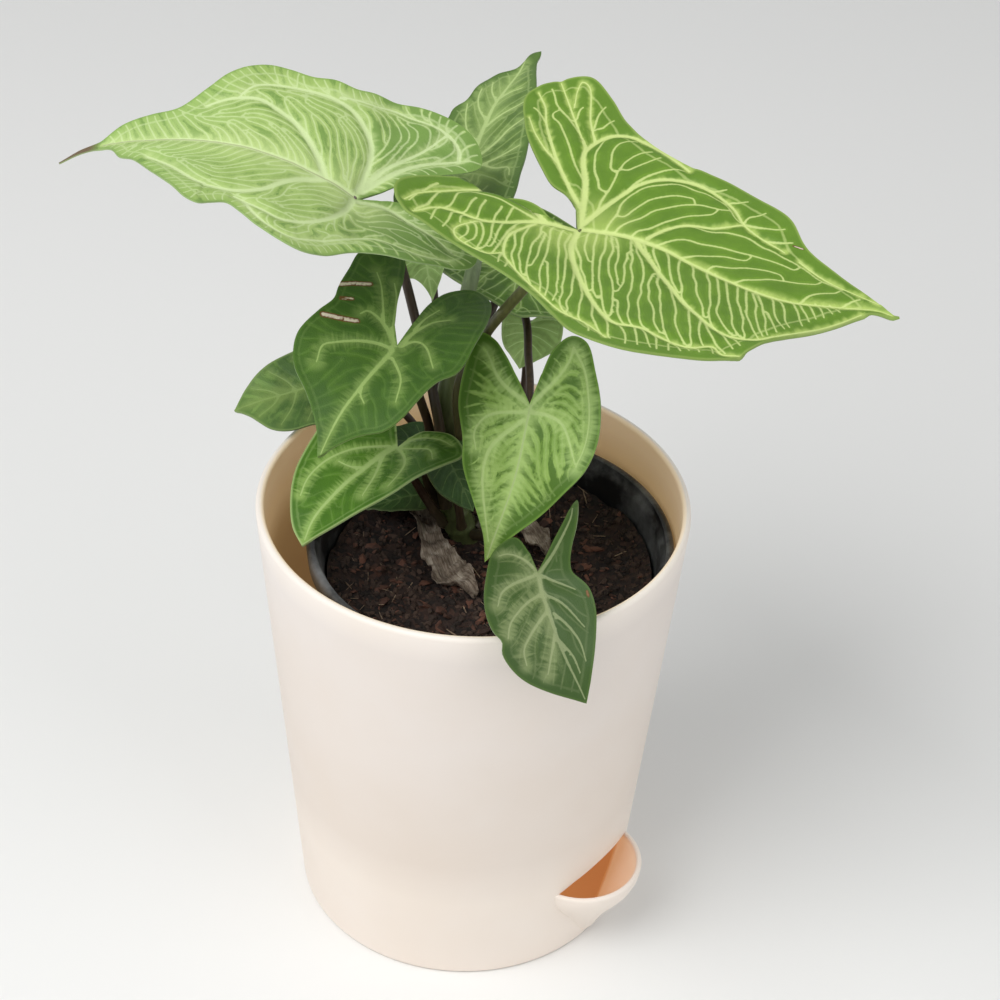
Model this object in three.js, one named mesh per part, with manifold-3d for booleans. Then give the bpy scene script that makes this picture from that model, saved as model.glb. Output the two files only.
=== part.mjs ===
// Arrowhead plant in a black nursery pot, set in a cream self-watering pot with a water scoop.
// Millimetres, +Z up. The origin is the middle of the cream pot's underside, and the scoop
// stands at the front right, between +X and -Y.
import * as THREE from 'three';
import { mergeVertices } from 'three/addons/utils/BufferGeometryUtils.js';
import Module from 'manifold-3d';

const wasm = await Module();
wasm.setup();

const DEG = Math.PI / 180;
const GAP = 0.4;
const SEAT_GAP = 0.55;

const POT = {
  height: 138,
  rimRadius: 60,
  baseRadius: 48.5,
  wall: 1.8,
  floor: 2.4,
  lipWidth: 2.4,
  lipDepth: 5,
  lipSlope: 2,
  footRound: 1.4,
  floorRound: 2,
  segments: 64,
};

const SCOOP = {
  azimuth: -37,
  axisRadius: 43.8,
  radius: 18,
  wall: 1.7,
  rimHeight: 27.5,
  bottomHeight: 3,
  side: [[6, 3], [7.4, 6], [9.2, 9.6], [11.6, 13.6], [14.2, 17.4], [16.4, 21], [17.6, 24]],
  arch: [[13, 29.5], [7.3, 31], [0, 31]],
  segments: 40,
};

// `lip` runs up the rolled rim, from its outer edge and the pot's top. `ledge` runs down the
// step inside it, from the wall's inner face and the pot's top.
const NURSERY = {
  centreX: 5,
  rimRadius: 51.4,
  rimHeight: 125,
  lipWidth: 2.8,
  lipDrop: 6,
  lip: [[-0.7, -6], [-0.2, -1.6], [-1.2, -0.3], [-2.4, 0]],
  ledge: [[1.2, -1.4], [0, -3.4]],
  baseRadius: 40,
  footRound: 1,
  wall: 1.1,
  floor: 1.4,
  floorRound: 0.7,
  drainRadius: 4,
  drainCircle: 24,
  drains: 6,
  drainSides: 12,
  segments: 48,
};

const TRAY = {
  thickness: 2,
  topHeight: 35,
  legRadius: 3.2,
  legCircle: 36,
  legAzimuth: 9,
  legs: 4,
  legSides: 12,
  holeRadius: 2.6,
  holeCircles: [{ radius: 14, holes: 6 }, { radius: 26, holes: 10 }],
  holeSides: 8,
  segments: 48,
};

const SOIL = {
  level: 109,
  edgeRise: 6.5,
  slope: 0.03,
  bumps: 0.8,
  footInset: 1,
  edgeDrop: 3.5,
  edgeInset: 0.8,
  facetRoom: 0.4,
  rings: 7,
  segments: 40,
};

const STEM = {
  route: [[-1, 21, 88], [-2, 21, 107], [-4.6, 20.6, 116], [-8, 20.2, 129]],
  radii: [4.4, 4.8, 4.4, 3.3],
  steps: 10,
  sides: 12,
  holeRadius: 5.5,
  holeSteps: 8,
  holeDepth: 2,
};

const STALK = {
  sides: 7,
  leastSteps: 6,
  stepsPerPoint: 2,
};

const BLADE = {
  thickness: 0.7,
  creaseWidth: 0.06,
  hubShare: 0.1,
  hubSide: 0.07,
};

// Each leaf: `at` is where stalk meets blade, and the angles are degrees. The outline is given
// in the flat blade, x from that point along the midrib and y to each side of it, from the
// notch round the lobe to the tip. `fold` lifts both halves, `droop` bends the midrib down,
// `lift` raises the lobes' ends. The stalk leaves the stem at an azimuth and a height.
const LEAVES = [
  {
    name: 'upper_left', at: [-32.6, 10.7, 226], heading: 178, pitch: 33, roll: -10,
    length: 70, fold: 10, droop: 52, lift: [19, 19], wave: 0.8, waves: 5, spokes: 24, rings: 4,
    left: [[-5, -2.4], [-9, -4.4], [-16, -5.6], [-23, -3], [-28, 4], [-27.6, 10], [-24.6, 13.4],
      [-20.7, 15.2], [-14.8, 18.8], [-7.9, 21.2], [-1.2, 24.6], [5.6, 32], [11.8, 36],
      [17.3, 35.6], [22.7, 32.2], [26.9, 27.6], [30.9, 24.8], [34.5, 26.9], [37.3, 28.9],
      [40.9, 27.8], [46.1, 21.8], [51.5, 15.2], [58.2, 9.2], [62.5, 8.2], [66.6, 3.8], [71, 2.4],
      [76, 2.1]],
    right: [[-5, -5], [-9, -10], [-16, -18], [-23.2, -26.4], [-21.6, -31.6], [-18.2, -35.4],
      [-13.1, -37.8], [-6.8, -38.6], [-0.8, -36.8], [4.7, -35.4], [10.1, -32.8], [15.6, -32.6],
      [21, -31.4], [26.4, -32], [31.4, -31.8], [36.5, -29.4], [41.4, -25], [45.7, -18.9],
      [50.9, -12.6], [57.8, -9.8], [65.6, -5.8], [71, -0.6], [76, 0.6]],
    tip: [[81, 3.6]],
    hubs: [[7, -3], [7, 5]],
    stalk: { azimuth: -110, height: 123, radii: [1.5, 1.1],
      route: [[-9.4, 15.6, 135], [-10.1, 17.4, 147.7], [-12, 18.5, 158.4], [-14.5, 22, 168.7],
        [-17.9, 27, 179.4], [-20.8, 31, 188.8], [-23.4, 31, 198], [-28, 21.5, 212]] },
    color: 0xa9c884,
  },
  {
    name: 'upper_right', at: [23.9, -3.5, 228], heading: -22, pitch: 2, roll: 4,
    length: 92, fold: 8, droop: 8, lift: [0, 16], wave: 0.8, waves: 5, spokes: 24, rings: 4,
    left: [[-3, 7.6], [-7.2, 12.2], [-12.9, 15], [-17.5, 19.6], [-24.4, 28], [-29.4, 37],
      [-33.2, 47.6], [-31.6, 52], [-26, 55], [-18.6, 57.8], [-10.4, 52], [-2.8, 44], [4, 39.2],
      [11, 35], [20.8, 31.4], [30.5, 29.8], [39.8, 26], [49.3, 21], [56.4, 13], [66, 8.2]],
    right: [[-4.2, 0.2], [-7.6, 0.8], [-12, 4], [-18, 6], [-25, 5], [-33, -1], [-39, -10], [-41, -18],
      [-37, -24], [-29, -25.5], [-14, -30], [1, -36], [9, -42], [18, -49.5], [30, -52.5],
      [43, -47.5], [54, -42], [61, -29], [66.4, -19.5], [72, -11], [77, -4.6]],
    tip: [[85, -2]],
    hubs: [[3, -7.5], [3, 8]],
    stalk: { azimuth: -35, height: 123, radii: [1.7, 1.4],
      route: [[-3.2, 16.8, 136], [-4.6, 17.4, 150.4], [-5.3, 17.4, 158.9], [-4.7, 17, 165.9],
        [1.7, 14, 183.6], [6, 10, 193.1], [10.4, 4, 203.4], [18, -2, 218]] },
    color: 0x7fab4c,
  },
  {
    name: 'upper_back', at: [-6.3, 53.5, 206], heading: 72, pitch: 22, roll: -10,
    length: 60, fold: 12, droop: 20, lift: [0, 0], wave: 0.6, waves: 4, spokes: 18, rings: 4,
    left: [[-4, 3.6], [-9, 7], [-13, 11], [-11, 16], [-4, 18], [5, 16.8], [14, 14.6],
      [23, 12.8], [27, 12.6], [31.6, 9.9], [38, 9.4], [43, 8], [46.8, 6.4], [50.4, 2.4],
      [56, 1.2], [59.6, 0.4]],
    right: [[-4, -3.6], [-9, -7], [-13, -11.5], [-11, -16.5], [-4, -18.6], [4, -17.6],
      [12, -16.2], [28, -12.6], [42, -7.7], [49.8, -4.4], [55.7, -2.1], [59.4, -1.8]],
    tip: [[61.4, -1.2]],
    stalk: { azimuth: null, height: null, radii: [2.7, 1.8],
      route: [[-8.4, 20.4, 130.8], [-7.3, 21.8, 145.4], [-8.8, 22.5, 156.2], [-6.1, 24, 172.7],
        [-3.6, 25, 189.1], [-2.2, 28, 196.8], [-3.2, 38, 198.6], [-5, 47, 200.6]] },
    color: 0x7d9c6c,
  },
  {
    name: 'middle_left', at: [-21.4, -4.2, 191], heading: 238, pitch: -12, roll: -8,
    length: 41, fold: 12, droop: 26, lift: [0, 0], wave: 0.5, waves: 4, spokes: 16, rings: 3,
    left: [[-9, -1], [-18, -2], [-26, -0.5], [-31.5, 4], [-29, 10.5], [-19, 16], [-9, 18.5],
      [2, 20.2], [7, 17.5], [20, 15.3], [25, 13], [29, 8]],
    right: [[-5, -4.4], [-13, -8.8], [-21, -12.6], [-27.4, -17.4], [-25.4, -23], [-19, -26],
      [-12, -24.6], [-5, -22.8], [-0.6, -21.2], [5, -22.2], [12, -23], [17, -21.2],
      [21.6, -17.5], [26, -10.8], [32, -4]],
    tip: [[38.5, 0.5]],
    stalk: { azimuth: 180, height: 121, radii: [1.4, 1.1],
      route: [[-13.6, 20.2, 130], [-13, 21, 144.5], [-15.5, 17, 158], [-18.4, 8, 173.5],
        [-20.6, 0, 184.5]] },
    color: 0x47703a,
  },
  {
    name: 'front_middle', at: [14, -2, 172], heading: 252, pitch: -46, roll: -6,
    length: 46, fold: 12, droop: 26, lift: [0, 0], wave: 0.5, waves: 4, spokes: 16, rings: 3,
    left: [[-8, 1], [-16, 2.5], [-20.5, 6.5], [-19.5, 11], [-12, 15.5], [-3, 19.5], [6, 21],
      [14, 19.5], [22, 14.5], [29, 9.5], [37, 2.8]],
    right: [[-6, -5], [-11, -9.5], [-14.5, -14], [-15, -18], [-8, -19.2], [4, -18.8],
      [13, -15.3], [20, -13.6], [28, -9.2], [37, -4.4]],
    tip: [[44.5, -2.6]],
    stalk: { azimuth: 40, height: 118, radii: [1.4, 1.1],
      route: [[-0.4, 26.4, 132], [0.4, 29, 150], [1.8, 32.4, 168], [3, 34.5, 178],
        [6.6, 36.4, 181.6], [10.8, 34.4, 180.2], [12.8, 28, 178], [13.4, 16, 175.4],
        [14, 6, 173.4]] },
    color: 0x86aa57,
  },
  {
    name: 'lower_left', at: [-21.4, 6.8, 150], heading: 228, pitch: -2, roll: 0,
    length: 42, fold: 12, droop: 30, lift: [0, 0], wave: 0.4, waves: 3, spokes: 16, rings: 3,
    left: [[-5, -0.8], [-11, -0.2], [-13.6, 5], [-11, 13], [-6, 19], [0, 18], [8, 16.2],
      [15, 14.8], [24, 11], [33, 7.6]],
    right: [[-3.5, -4], [-7, -8], [-10, -12], [-9, -16.6], [-3, -19.6], [5, -20.6], [14, -18.6],
      [24, -15], [32, -9.8], [38, -3.8]],
    tip: [[41, 2.6]],
    stalk: { azimuth: 215, height: 116, radii: [1.4, 1.0],
      route: [[-12.4, 13.8, 125], [-16.8, 10.6, 136], [-20, 8.4, 144.5]] },
    color: 0x5c9137,
  },
  {
    name: 'front_low', at: [17.1, -45.7, 150], heading: 285, pitch: -14, roll: 6,
    length: 38, fold: 10, droop: 50, lift: [0, 0], wave: 0.4, waves: 4, spokes: 16, rings: 3,
    left: [[-3, 2.4], [-8, 6], [-14, 10.6], [-19.4, 14], [-22.6, 16.8], [-16, 15.2],
      [-10.8, 13.4], [-5, 10.6], [-0.6, 9], [3, 8.6], [8.6, 11.6], [14, 12], [20.9, 10.4],
      [30, 7.4]],
    right: [[-6, -0.6], [-13, -2.8], [-12.8, -4.8], [-8, -10.2], [0, -13.8], [6.3, -16],
      [11, -16.4], [15.4, -15.6], [18, -14], [21, -14.6], [26.4, -11.8], [33, -3.8]],
    tip: [[36.9, 4.8]],
    stalk: { azimuth: -40, height: 112, radii: [1.4, 1.0],
      route: [[6, 11, 116], [11, 0, 120], [14, -17, 129], [16.4, -33, 140], [17.1, -40, 145.4]] },
    color: 0x6b8a5c,
  },
  {
    name: 'far_left', at: [-39.8, 39.8, 149], heading: 186, pitch: -6, roll: -24,
    length: 35, fold: 8, droop: 14, lift: [0, 0], wave: 0.4, waves: 3, spokes: 14, rings: 3,
    left: [[-4, 4], [-10, 8], [-13, 12], [-9, 16.5], [1, 16], [8, 15.4], [14, 16], [20, 14.2],
      [26, 8.6]],
    right: [[-4, -4], [-9, -8], [-11, -12], [-4, -14], [4, -12.4], [13, -10.4], [21, -6.8],
      [27, -1.4]],
    tip: [[30.6, 5]],
    stalk: { azimuth: 105, height: 117, radii: [1.3, 0.9],
      route: [[-10, 33, 124], [-20, 42, 135], [-32, 41, 146]] },
    color: 0x5f7c50,
  },
  {
    name: 'small_right', at: [14, 38, 172], heading: 256, pitch: -52, roll: -10,
    length: 16, fold: 8, droop: 20, lift: [0, 0], wave: 0.2, waves: 3, spokes: 11, rings: 3,
    left: [[-2.4, 2.4], [-4.2, 6], [-2, 8.8], [2.4, 9.6], [6, 8.8], [9, 5.6]],
    right: [[-2.4, -2.4], [-4.2, -5.4], [-1, -7.4], [3, -7.6], [7.4, -6.4], [10.4, -3.6]],
    tip: [[13.6, -0.6]],
    stalk: { azimuth: -10, height: 113, radii: [1.2, 0.9],
      route: [[7, 25.5, 122], [11.6, 34.5, 136], [13.2, 41, 149], [13.6, 43.4, 162],
        [14.4, 42.6, 168]] },
    color: 0x6f8f62,
  },
  {
    name: 'under_right', at: [8, 51, 183.7], heading: 350, pitch: -8, roll: 0,
    length: 46, fold: 8, droop: 20, lift: [0, 0], wave: 0.4, waves: 4, spokes: 14, rings: 3,
    left: [[-5, 4], [-12, 9], [-18, 15], [-16, 22], [-6, 25.5], [6, 25], [18, 20.5], [30, 13],
      [40, 5]],
    right: [[-5, -4], [-12, -8], [-17.5, -12], [-14, -17.5], [-8, -23.5], [0, -27.4],
      [7.4, -32], [11.6, -29.6], [17, -26.4], [27, -19], [38, -8]],
    tip: [[46, -1]],
    stalk: { azimuth: 65, height: 124, radii: [1.3, 1.0],
      route: [[-3.6, 30, 142], [-1, 37.6, 160], [4.4, 46.6, 173], [7.4, 50.4, 179]] },
    color: 0x78a84a,
  },
  {
    name: 'small_back', at: [-16.6, 39, 196], heading: 280, pitch: -72, roll: 0,
    length: 19, fold: 8, droop: 20, lift: [0, 0], wave: 0.2, waves: 3, spokes: 10, rings: 3,
    left: [[-3, 2], [-7, 4.6], [-6, 7], [0, 7.4], [7, 6], [12, 4.6]],
    right: [[-3, -2.4], [-7, -5], [-6, -8], [0, -9], [5, -8.6], [9.4, -6.4], [10.4, -2.4],
      [13.4, 0.6]],
    tip: [[17.6, 2.8]],
    stalk: { azimuth: 110, height: 126, radii: [1.1, 0.9],
      route: [[-10, 31.4, 142], [-11.8, 38, 160], [-13.2, 44, 178], [-15.4, 43.6, 190]] },
    color: 0x6f9155,
  },
  {
    name: 'inner_front', at: [-8, 10, 145], heading: 312, pitch: -45, roll: 0,
    length: 18, fold: 8, droop: 20, lift: [0, 0], wave: 0.2, waves: 3, spokes: 10, rings: 3,
    left: [[-2.2, 1.8], [-3, 4.6], [0, 7.2], [4, 7.6], [9, 6.4], [13.4, 4.2]],
    right: [[-2.2, -1.8], [-4, -6], [0, -8.8], [5, -8.6], [9.4, -6.8], [13.4, -3]],
    tip: [[17.4, 1.4]],
    stalk: { azimuth: -75, height: 116, radii: [1.2, 0.9],
      route: [[-4.6, 12.2, 127], [-7.4, 11.6, 138]] },
    color: 0x3d6335,
  },
  {
    name: 'inner_left', at: [-14, 29, 117.4], heading: 196, pitch: -2, roll: 0,
    length: 18, fold: 6, droop: 12, lift: [0, 0], wave: 0.2, waves: 3, spokes: 10, rings: 3,
    left: [[-2.4, 2.4], [-4, 5.4], [0, 7.4], [5, 7.2], [10, 5.4], [14.4, 2.6]],
    right: [[-2.4, -2.4], [-4, -5.6], [0, -7.8], [6, -7.8], [11, -5.6], [15, -2.6]],
    tip: [[18, 0]],
    stalk: { azimuth: 150, height: 113.4, radii: [1.1, 0.9],
      route: [[-12.4, 27, 114.6]] },
    color: 0x3f6a38,
  },
  {
    name: 'inner_back', at: [-14, 30, 133.5], heading: 165, pitch: 5, roll: 0,
    length: 22, fold: 8, droop: 20, lift: [0, 0], wave: 0.2, waves: 3, spokes: 10, rings: 3,
    left: [[-2.4, 2.4], [-4, 5.6], [0, 8], [6, 7.6], [12, 5.6], [18, 2.6]],
    right: [[-2.4, -2.4], [-4, -6.2], [1, -8.8], [6, -8.6], [10.4, -6], [17, -2.6]],
    tip: [[22, 0]],
    stalk: { azimuth: 130, height: 120, radii: [1.1, 0.9],
      route: [[-11.2, 28.6, 127.5]] },
    color: 0x3a5f34,
  },
];

// Withered leaves that lie on the soil: a route of the middle line seen from above, with half
// the width at each point.
// Dead leaves: a middle line on the soil, half widths along it, and how far the edges curl up.
const PAPER = { lift: 1.4, curlSteady: 0.6, curlWave: 0.4, waves: 5 };
const WITHERED = [
  { name: 'long', line: [[-15.5, 34.5], [-14.4, 27], [-12.4, 18], [-9, 8], [-5, 0], [1.5, -8]],
    half: [2.6, 3.6, 3.4, 4.6, 5.2, 1.2], curl: 2.6, steps: 14, sides: 4 },
  { name: 'short', line: [[11.5, 28.5], [15, 24], [18.6, 18], [21.5, 11]],
    half: [1.6, 3.2, 3.4, 0.9], curl: 2.2, steps: 9, sides: 4 },
];

const plant = new THREE.Group();

function addPart(name, geometry, color, roughness) {
  const material = new THREE.MeshStandardMaterial({ color, roughness, metalness: 0 });
  const mesh = new THREE.Mesh(geometry, material);
  mesh.name = name;
  plant.add(mesh);
  return mesh;
}

// ---- joining and cutting -----------------------------------------------------------------

function toSolid(geometry) {
  const bare = geometry.clone();
  bare.deleteAttribute('normal');
  bare.deleteAttribute('uv');
  const merged = mergeVertices(bare, 1e-4);
  return new wasm.Manifold(new wasm.Mesh({
    numProp: 3,
    vertProperties: new Float32Array(merged.attributes.position.array),
    triVerts: new Uint32Array(merged.index.array),
  }));
}

function toGeometry(solid) {
  const mesh = solid.getMesh();
  const geometry = new THREE.BufferGeometry();
  geometry.setAttribute('position', new THREE.BufferAttribute(mesh.vertProperties, 3));
  geometry.setIndex(new THREE.BufferAttribute(mesh.triVerts, 1));
  geometry.computeVertexNormals();
  return geometry;
}

// A profile of [radius, height] points turned about the Z axis.
function turned(profile, segments) {
  const points = profile.map(([radius, height]) => new THREE.Vector2(radius, height));
  const geometry = new THREE.LatheGeometry(points, segments);
  geometry.rotateX(Math.PI / 2);
  return geometry;
}

function placed(geometry, x, y, z = 0) {
  return geometry.clone().translate(x, y, z);
}

function onCircle(radius, azimuth) {
  return [radius * Math.cos(azimuth * DEG), radius * Math.sin(azimuth * DEG)];
}

// A round corner of a profile, its angles in degrees.
function corner([radius, height], round, from, to, steps) {
  return Array.from({ length: steps + 1 }, (_, i) => {
    const angle = (from + ((to - from) * i) / steps) * DEG;
    return [radius + round * Math.cos(angle), height + round * Math.sin(angle)];
  });
}

// An upright cylinder, from one height to another.
function pillar(radius, low, high, sides) {
  const geometry = new THREE.CylinderGeometry(radius, radius, high - low, sides);
  geometry.rotateX(Math.PI / 2);
  return geometry.translate(0, 0, (low + high) / 2);
}

// ---- cream outer pot with its scoop ------------------------------------------------------

const potSlope = (POT.rimRadius - POT.baseRadius) / POT.height;

function potOuterRadius(height) {
  return POT.baseRadius + potSlope * height;
}

function potInnerRadius(height) {
  return potOuterRadius(height) - POT.wall;
}

function outerPotGeometry() {
  const foot = POT.footRound;
  const lip = POT.lipWidth / 2;
  const lipFoot = POT.height - POT.lipDepth;
  const wallTop = lipFoot - POT.lipSlope;
  const middle = POT.height / 2;
  const floorEdge = [potInnerRadius(POT.floor) - POT.floorRound, POT.floor + POT.floorRound];
  const shell = turned([
    [0, 0],
    ...corner([POT.baseRadius - foot, foot], foot, -90, 0, 2),
    [potOuterRadius(middle), middle],
    ...corner([POT.rimRadius - lip, POT.height - lip], lip, 0, 180, 4),
    [POT.rimRadius - POT.lipWidth, lipFoot],
    [potInnerRadius(wallTop), wallTop],
    [potInnerRadius(middle), middle],
    ...corner(floorEdge, POT.floorRound, 0, -90, 1),
    [0, POT.floor],
  ], POT.segments);
  const midWall = POT.wall / 2;
  const midFloor = POT.floor / 2;
  const cavity = turned([
    [0, midFloor],
    [potOuterRadius(midFloor) - midWall, midFloor],
    [potOuterRadius(middle) - midWall, middle],
    [0, middle],
  ], POT.segments);

  const [x, y] = onCircle(SCOOP.axisRadius, SCOOP.azimuth);
  const cupLip = SCOOP.wall / 2;
  const cup = turned([
    [0, SCOOP.bottomHeight],
    ...SCOOP.side,
    ...corner([SCOOP.radius - cupLip, SCOOP.rimHeight - cupLip], cupLip, 0, 90, 2),
    [0, SCOOP.rimHeight],
  ], SCOOP.segments);
  const inside = SCOOP.radius - SCOOP.wall;
  const hollow = turned([
    [0, SCOOP.bottomHeight + SCOOP.wall],
    ...SCOOP.side.map(([radius, height]) => [radius - SCOOP.wall, height + SCOOP.wall]),
    [inside, SCOOP.rimHeight - cupLip],
    [inside + cupLip / 2, SCOOP.rimHeight + GAP / 4],
    ...SCOOP.arch,
  ], SCOOP.segments);

  const cupOutside = toSolid(placed(cup, x, y)).subtract(toSolid(cavity));
  return toGeometry(toSolid(shell).add(cupOutside).subtract(toSolid(placed(hollow, x, y))));
}

addPart('outer_pot', outerPotGeometry(), 0xe6dfd4, 0.45);

// ---- tray that holds the nursery pot above the water -------------------------------------

function trayGeometry() {
  const under = TRAY.topHeight - TRAY.thickness;
  const middle = TRAY.topHeight - TRAY.thickness / 2;
  const plate = turned([
    [0, under],
    [potInnerRadius(under) - GAP, under],
    [potInnerRadius(under) - GAP, TRAY.topHeight],
    [0, TRAY.topHeight],
  ], TRAY.segments);
  let tray = toSolid(plate);
  const leg = pillar(TRAY.legRadius, POT.floor + GAP, middle, TRAY.legSides);
  for (let i = 0; i < TRAY.legs; i += 1) {
    const [x, y] = onCircle(TRAY.legCircle, TRAY.legAzimuth + (360 / TRAY.legs) * i);
    tray = tray.add(toSolid(placed(leg, x, y)));
  }
  const hole = pillar(TRAY.holeRadius, under - GAP, TRAY.topHeight + GAP, TRAY.holeSides);
  for (const { radius, holes } of TRAY.holeCircles) {
    for (let i = 0; i < holes; i += 1) {
      const [x, y] = onCircle(radius, (360 / holes) * i);
      tray = tray.subtract(toSolid(placed(hole, x, y)));
    }
  }
  return toGeometry(tray);
}

addPart('water_tray', trayGeometry(), 0xd8d2c8, 0.6);

// ---- black nursery pot --------------------------------------------------------------------

const nurseryBase = TRAY.topHeight + GAP;
const nurseryBody = NURSERY.rimRadius - NURSERY.lipWidth;

function nurseryOuterRadius(height) {
  const share = (height - nurseryBase) / (NURSERY.rimHeight - nurseryBase);
  return NURSERY.baseRadius + (nurseryBody - NURSERY.baseRadius) * share;
}

function nurseryPotGeometry() {
  const top = NURSERY.rimHeight;
  const lipFoot = top - NURSERY.lipDrop;
  const ledgeFoot = lipFoot - NURSERY.lipDrop;
  const inner = nurseryBody - NURSERY.wall;
  const foot = NURSERY.footRound;
  const floor = nurseryBase + NURSERY.floor;
  const floorEdge = [NURSERY.baseRadius - NURSERY.wall - NURSERY.floorRound, floor + NURSERY.floorRound];
  const pot = turned([
    [0, nurseryBase],
    ...corner([NURSERY.baseRadius - foot, nurseryBase + foot], foot, -90, 0, 1),
    [nurseryOuterRadius(lipFoot - foot), lipFoot - foot],
    ...NURSERY.lip.map(([out, up]) => [NURSERY.rimRadius + out, top + up]),
    ...NURSERY.ledge.map(([out, up]) => [inner + out, top + up]),
    [nurseryOuterRadius(ledgeFoot) - NURSERY.wall, ledgeFoot],
    ...corner(floorEdge, NURSERY.floorRound, 0, -90, 1),
    [0, floor],
  ], NURSERY.segments);
  const drain = pillar(NURSERY.drainRadius, nurseryBase - GAP, floor + GAP, NURSERY.drainSides);
  let solid = toSolid(pot);
  for (let i = 0; i < NURSERY.drains; i += 1) {
    const [x, y] = onCircle(NURSERY.drainCircle, (360 / NURSERY.drains) * i);
    solid = solid.subtract(toSolid(placed(drain, x, y)));
  }
  return placed(toGeometry(solid), NURSERY.centreX, 0);
}

addPart('nursery_pot', nurseryPotGeometry(), 0x2a2c30, 0.5);

// ---- stem and soil ------------------------------------------------------------------------

// A round stalk along a smooth route, its radius running through `radii`.
function stalkGeometry(route, radii, steps, sides) {
  const path = new THREE.CatmullRomCurve3(
    route.map((point) => new THREE.Vector3(...point)), false, 'centripetal');
  const section = new THREE.Shape();
  for (let i = 0; i < sides; i += 1) {
    const angle = (2 * Math.PI * i) / sides;
    section[i ? 'lineTo' : 'moveTo'](Math.cos(angle), Math.sin(angle));
  }
  section.closePath();
  const geometry = new THREE.ExtrudeGeometry(section, { steps, extrudePath: path, curveSegments: 1 });
  const centres = path.getSpacedPoints(steps);
  const place = geometry.attributes.position;
  const vertex = new THREE.Vector3();
  for (let i = 0; i < place.count; i += 1) {
    vertex.fromBufferAttribute(place, i);
    let nearest = 0;
    centres.forEach((centre, j) => {
      if (centre.distanceTo(vertex) < centres[nearest].distanceTo(vertex)) nearest = j;
    });
    const along = (nearest / steps) * (radii.length - 1);
    const from = Math.min(Math.floor(along), radii.length - 2);
    const radius = THREE.MathUtils.lerp(radii[from], radii[from + 1], along - from);
    vertex.sub(centres[nearest]).multiplyScalar(radius).add(centres[nearest]);
    place.setXYZ(i, vertex.x, vertex.y, vertex.z);
  }
  return geometry;
}

function stemAt(height) {
  const { route, radii } = STEM;
  let i = 1;
  while (i < route.length - 1 && route[i][2] < height) i += 1;
  const share = THREE.MathUtils.clamp(
    (height - route[i - 1][2]) / (route[i][2] - route[i - 1][2]), 0, 1);
  const mix = (k) => THREE.MathUtils.lerp(route[i - 1][k], route[i][k], share);
  return { x: mix(0), y: mix(1), radius: THREE.MathUtils.lerp(radii[i - 1], radii[i], share) };
}

addPart('main_stem', stalkGeometry(STEM.route, STEM.radii, STEM.steps, STEM.sides), 0x5c6b3c, 0.6);

function soilHeight(x, y) {
  const wave = Math.sin(x * 0.31 + 1.1) * Math.cos(y * 0.27) + 0.5 * Math.sin(x * 0.13 - y * 0.19);
  const out = Math.hypot(x - NURSERY.centreX, y) / nurseryBody;
  return SOIL.level + SOIL.edgeRise * out ** 4 + SOIL.slope * x + SOIL.bumps * wave;
}

function soilGeometry() {
  const bottom = nurseryBase + NURSERY.floor + GAP;
  const low = NURSERY.baseRadius - NURSERY.wall - SOIL.footInset - GAP;
  const edgeHeight = SOIL.level + SOIL.edgeRise;
  const high = nurseryOuterRadius(edgeHeight) - NURSERY.wall - GAP - SOIL.facetRoom;
  const profile = [[0, bottom], [low, bottom], [high, edgeHeight - SOIL.edgeDrop]];
  for (let i = SOIL.rings; i >= 0; i -= 1) {
    profile.push([(high - SOIL.edgeInset) * (i / SOIL.rings), SOIL.level]);
  }
  const body = turned(profile, SOIL.segments);
  const place = body.attributes.position;
  for (let i = 0; i < place.count; i += 1) {
    if (place.getZ(i) > SOIL.level - GAP) {
      place.setZ(i, soilHeight(place.getX(i) + NURSERY.centreX, place.getY(i)));
    }
  }
  const [[x, y, z]] = STEM.route;
  const holeRoute = [[x, y, z - STEM.holeDepth], ...STEM.route.slice(0, 3)];
  const hole = stalkGeometry(
    holeRoute, [STEM.holeRadius, STEM.holeRadius], STEM.holeSteps, STEM.sides);
  return toGeometry(toSolid(placed(body, NURSERY.centreX, 0)).subtract(toSolid(hole)));
}

addPart('potting_soil', soilGeometry(), 0x3b2a20, 0.95);

// ---- leaves and their stalks --------------------------------------------------------------

// A point of the flat outline carried onto the folded, drooping blade.
function bend(leaf, x, y, lift) {
  const crease = BLADE.creaseWidth * leaf.length;
  const away = Math.hypot(y, crease) - crease;
  const behind = Math.max(-x, 0) / (0.5 * leaf.length);
  const up = away * Math.sin(leaf.fold * DEG) + lift * behind ** 1.5;
  const turn = (leaf.droop * DEG * x) / leaf.length;
  const radius = leaf.length / (leaf.droop * DEG);
  return new THREE.Vector3(
    (radius + up) * Math.sin(turn),
    y * Math.cos(leaf.fold * DEG),
    (radius + up) * Math.cos(turn) - radius,
  );
}

function outlineSide(points, tip, count) {
  const corners = [...points, ...tip].map(([x, y]) => new THREE.Vector3(x, y, 0));
  return new THREE.CatmullRomCurve3(corners, false, 'centripetal').getSpacedPoints(count);
}

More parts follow.
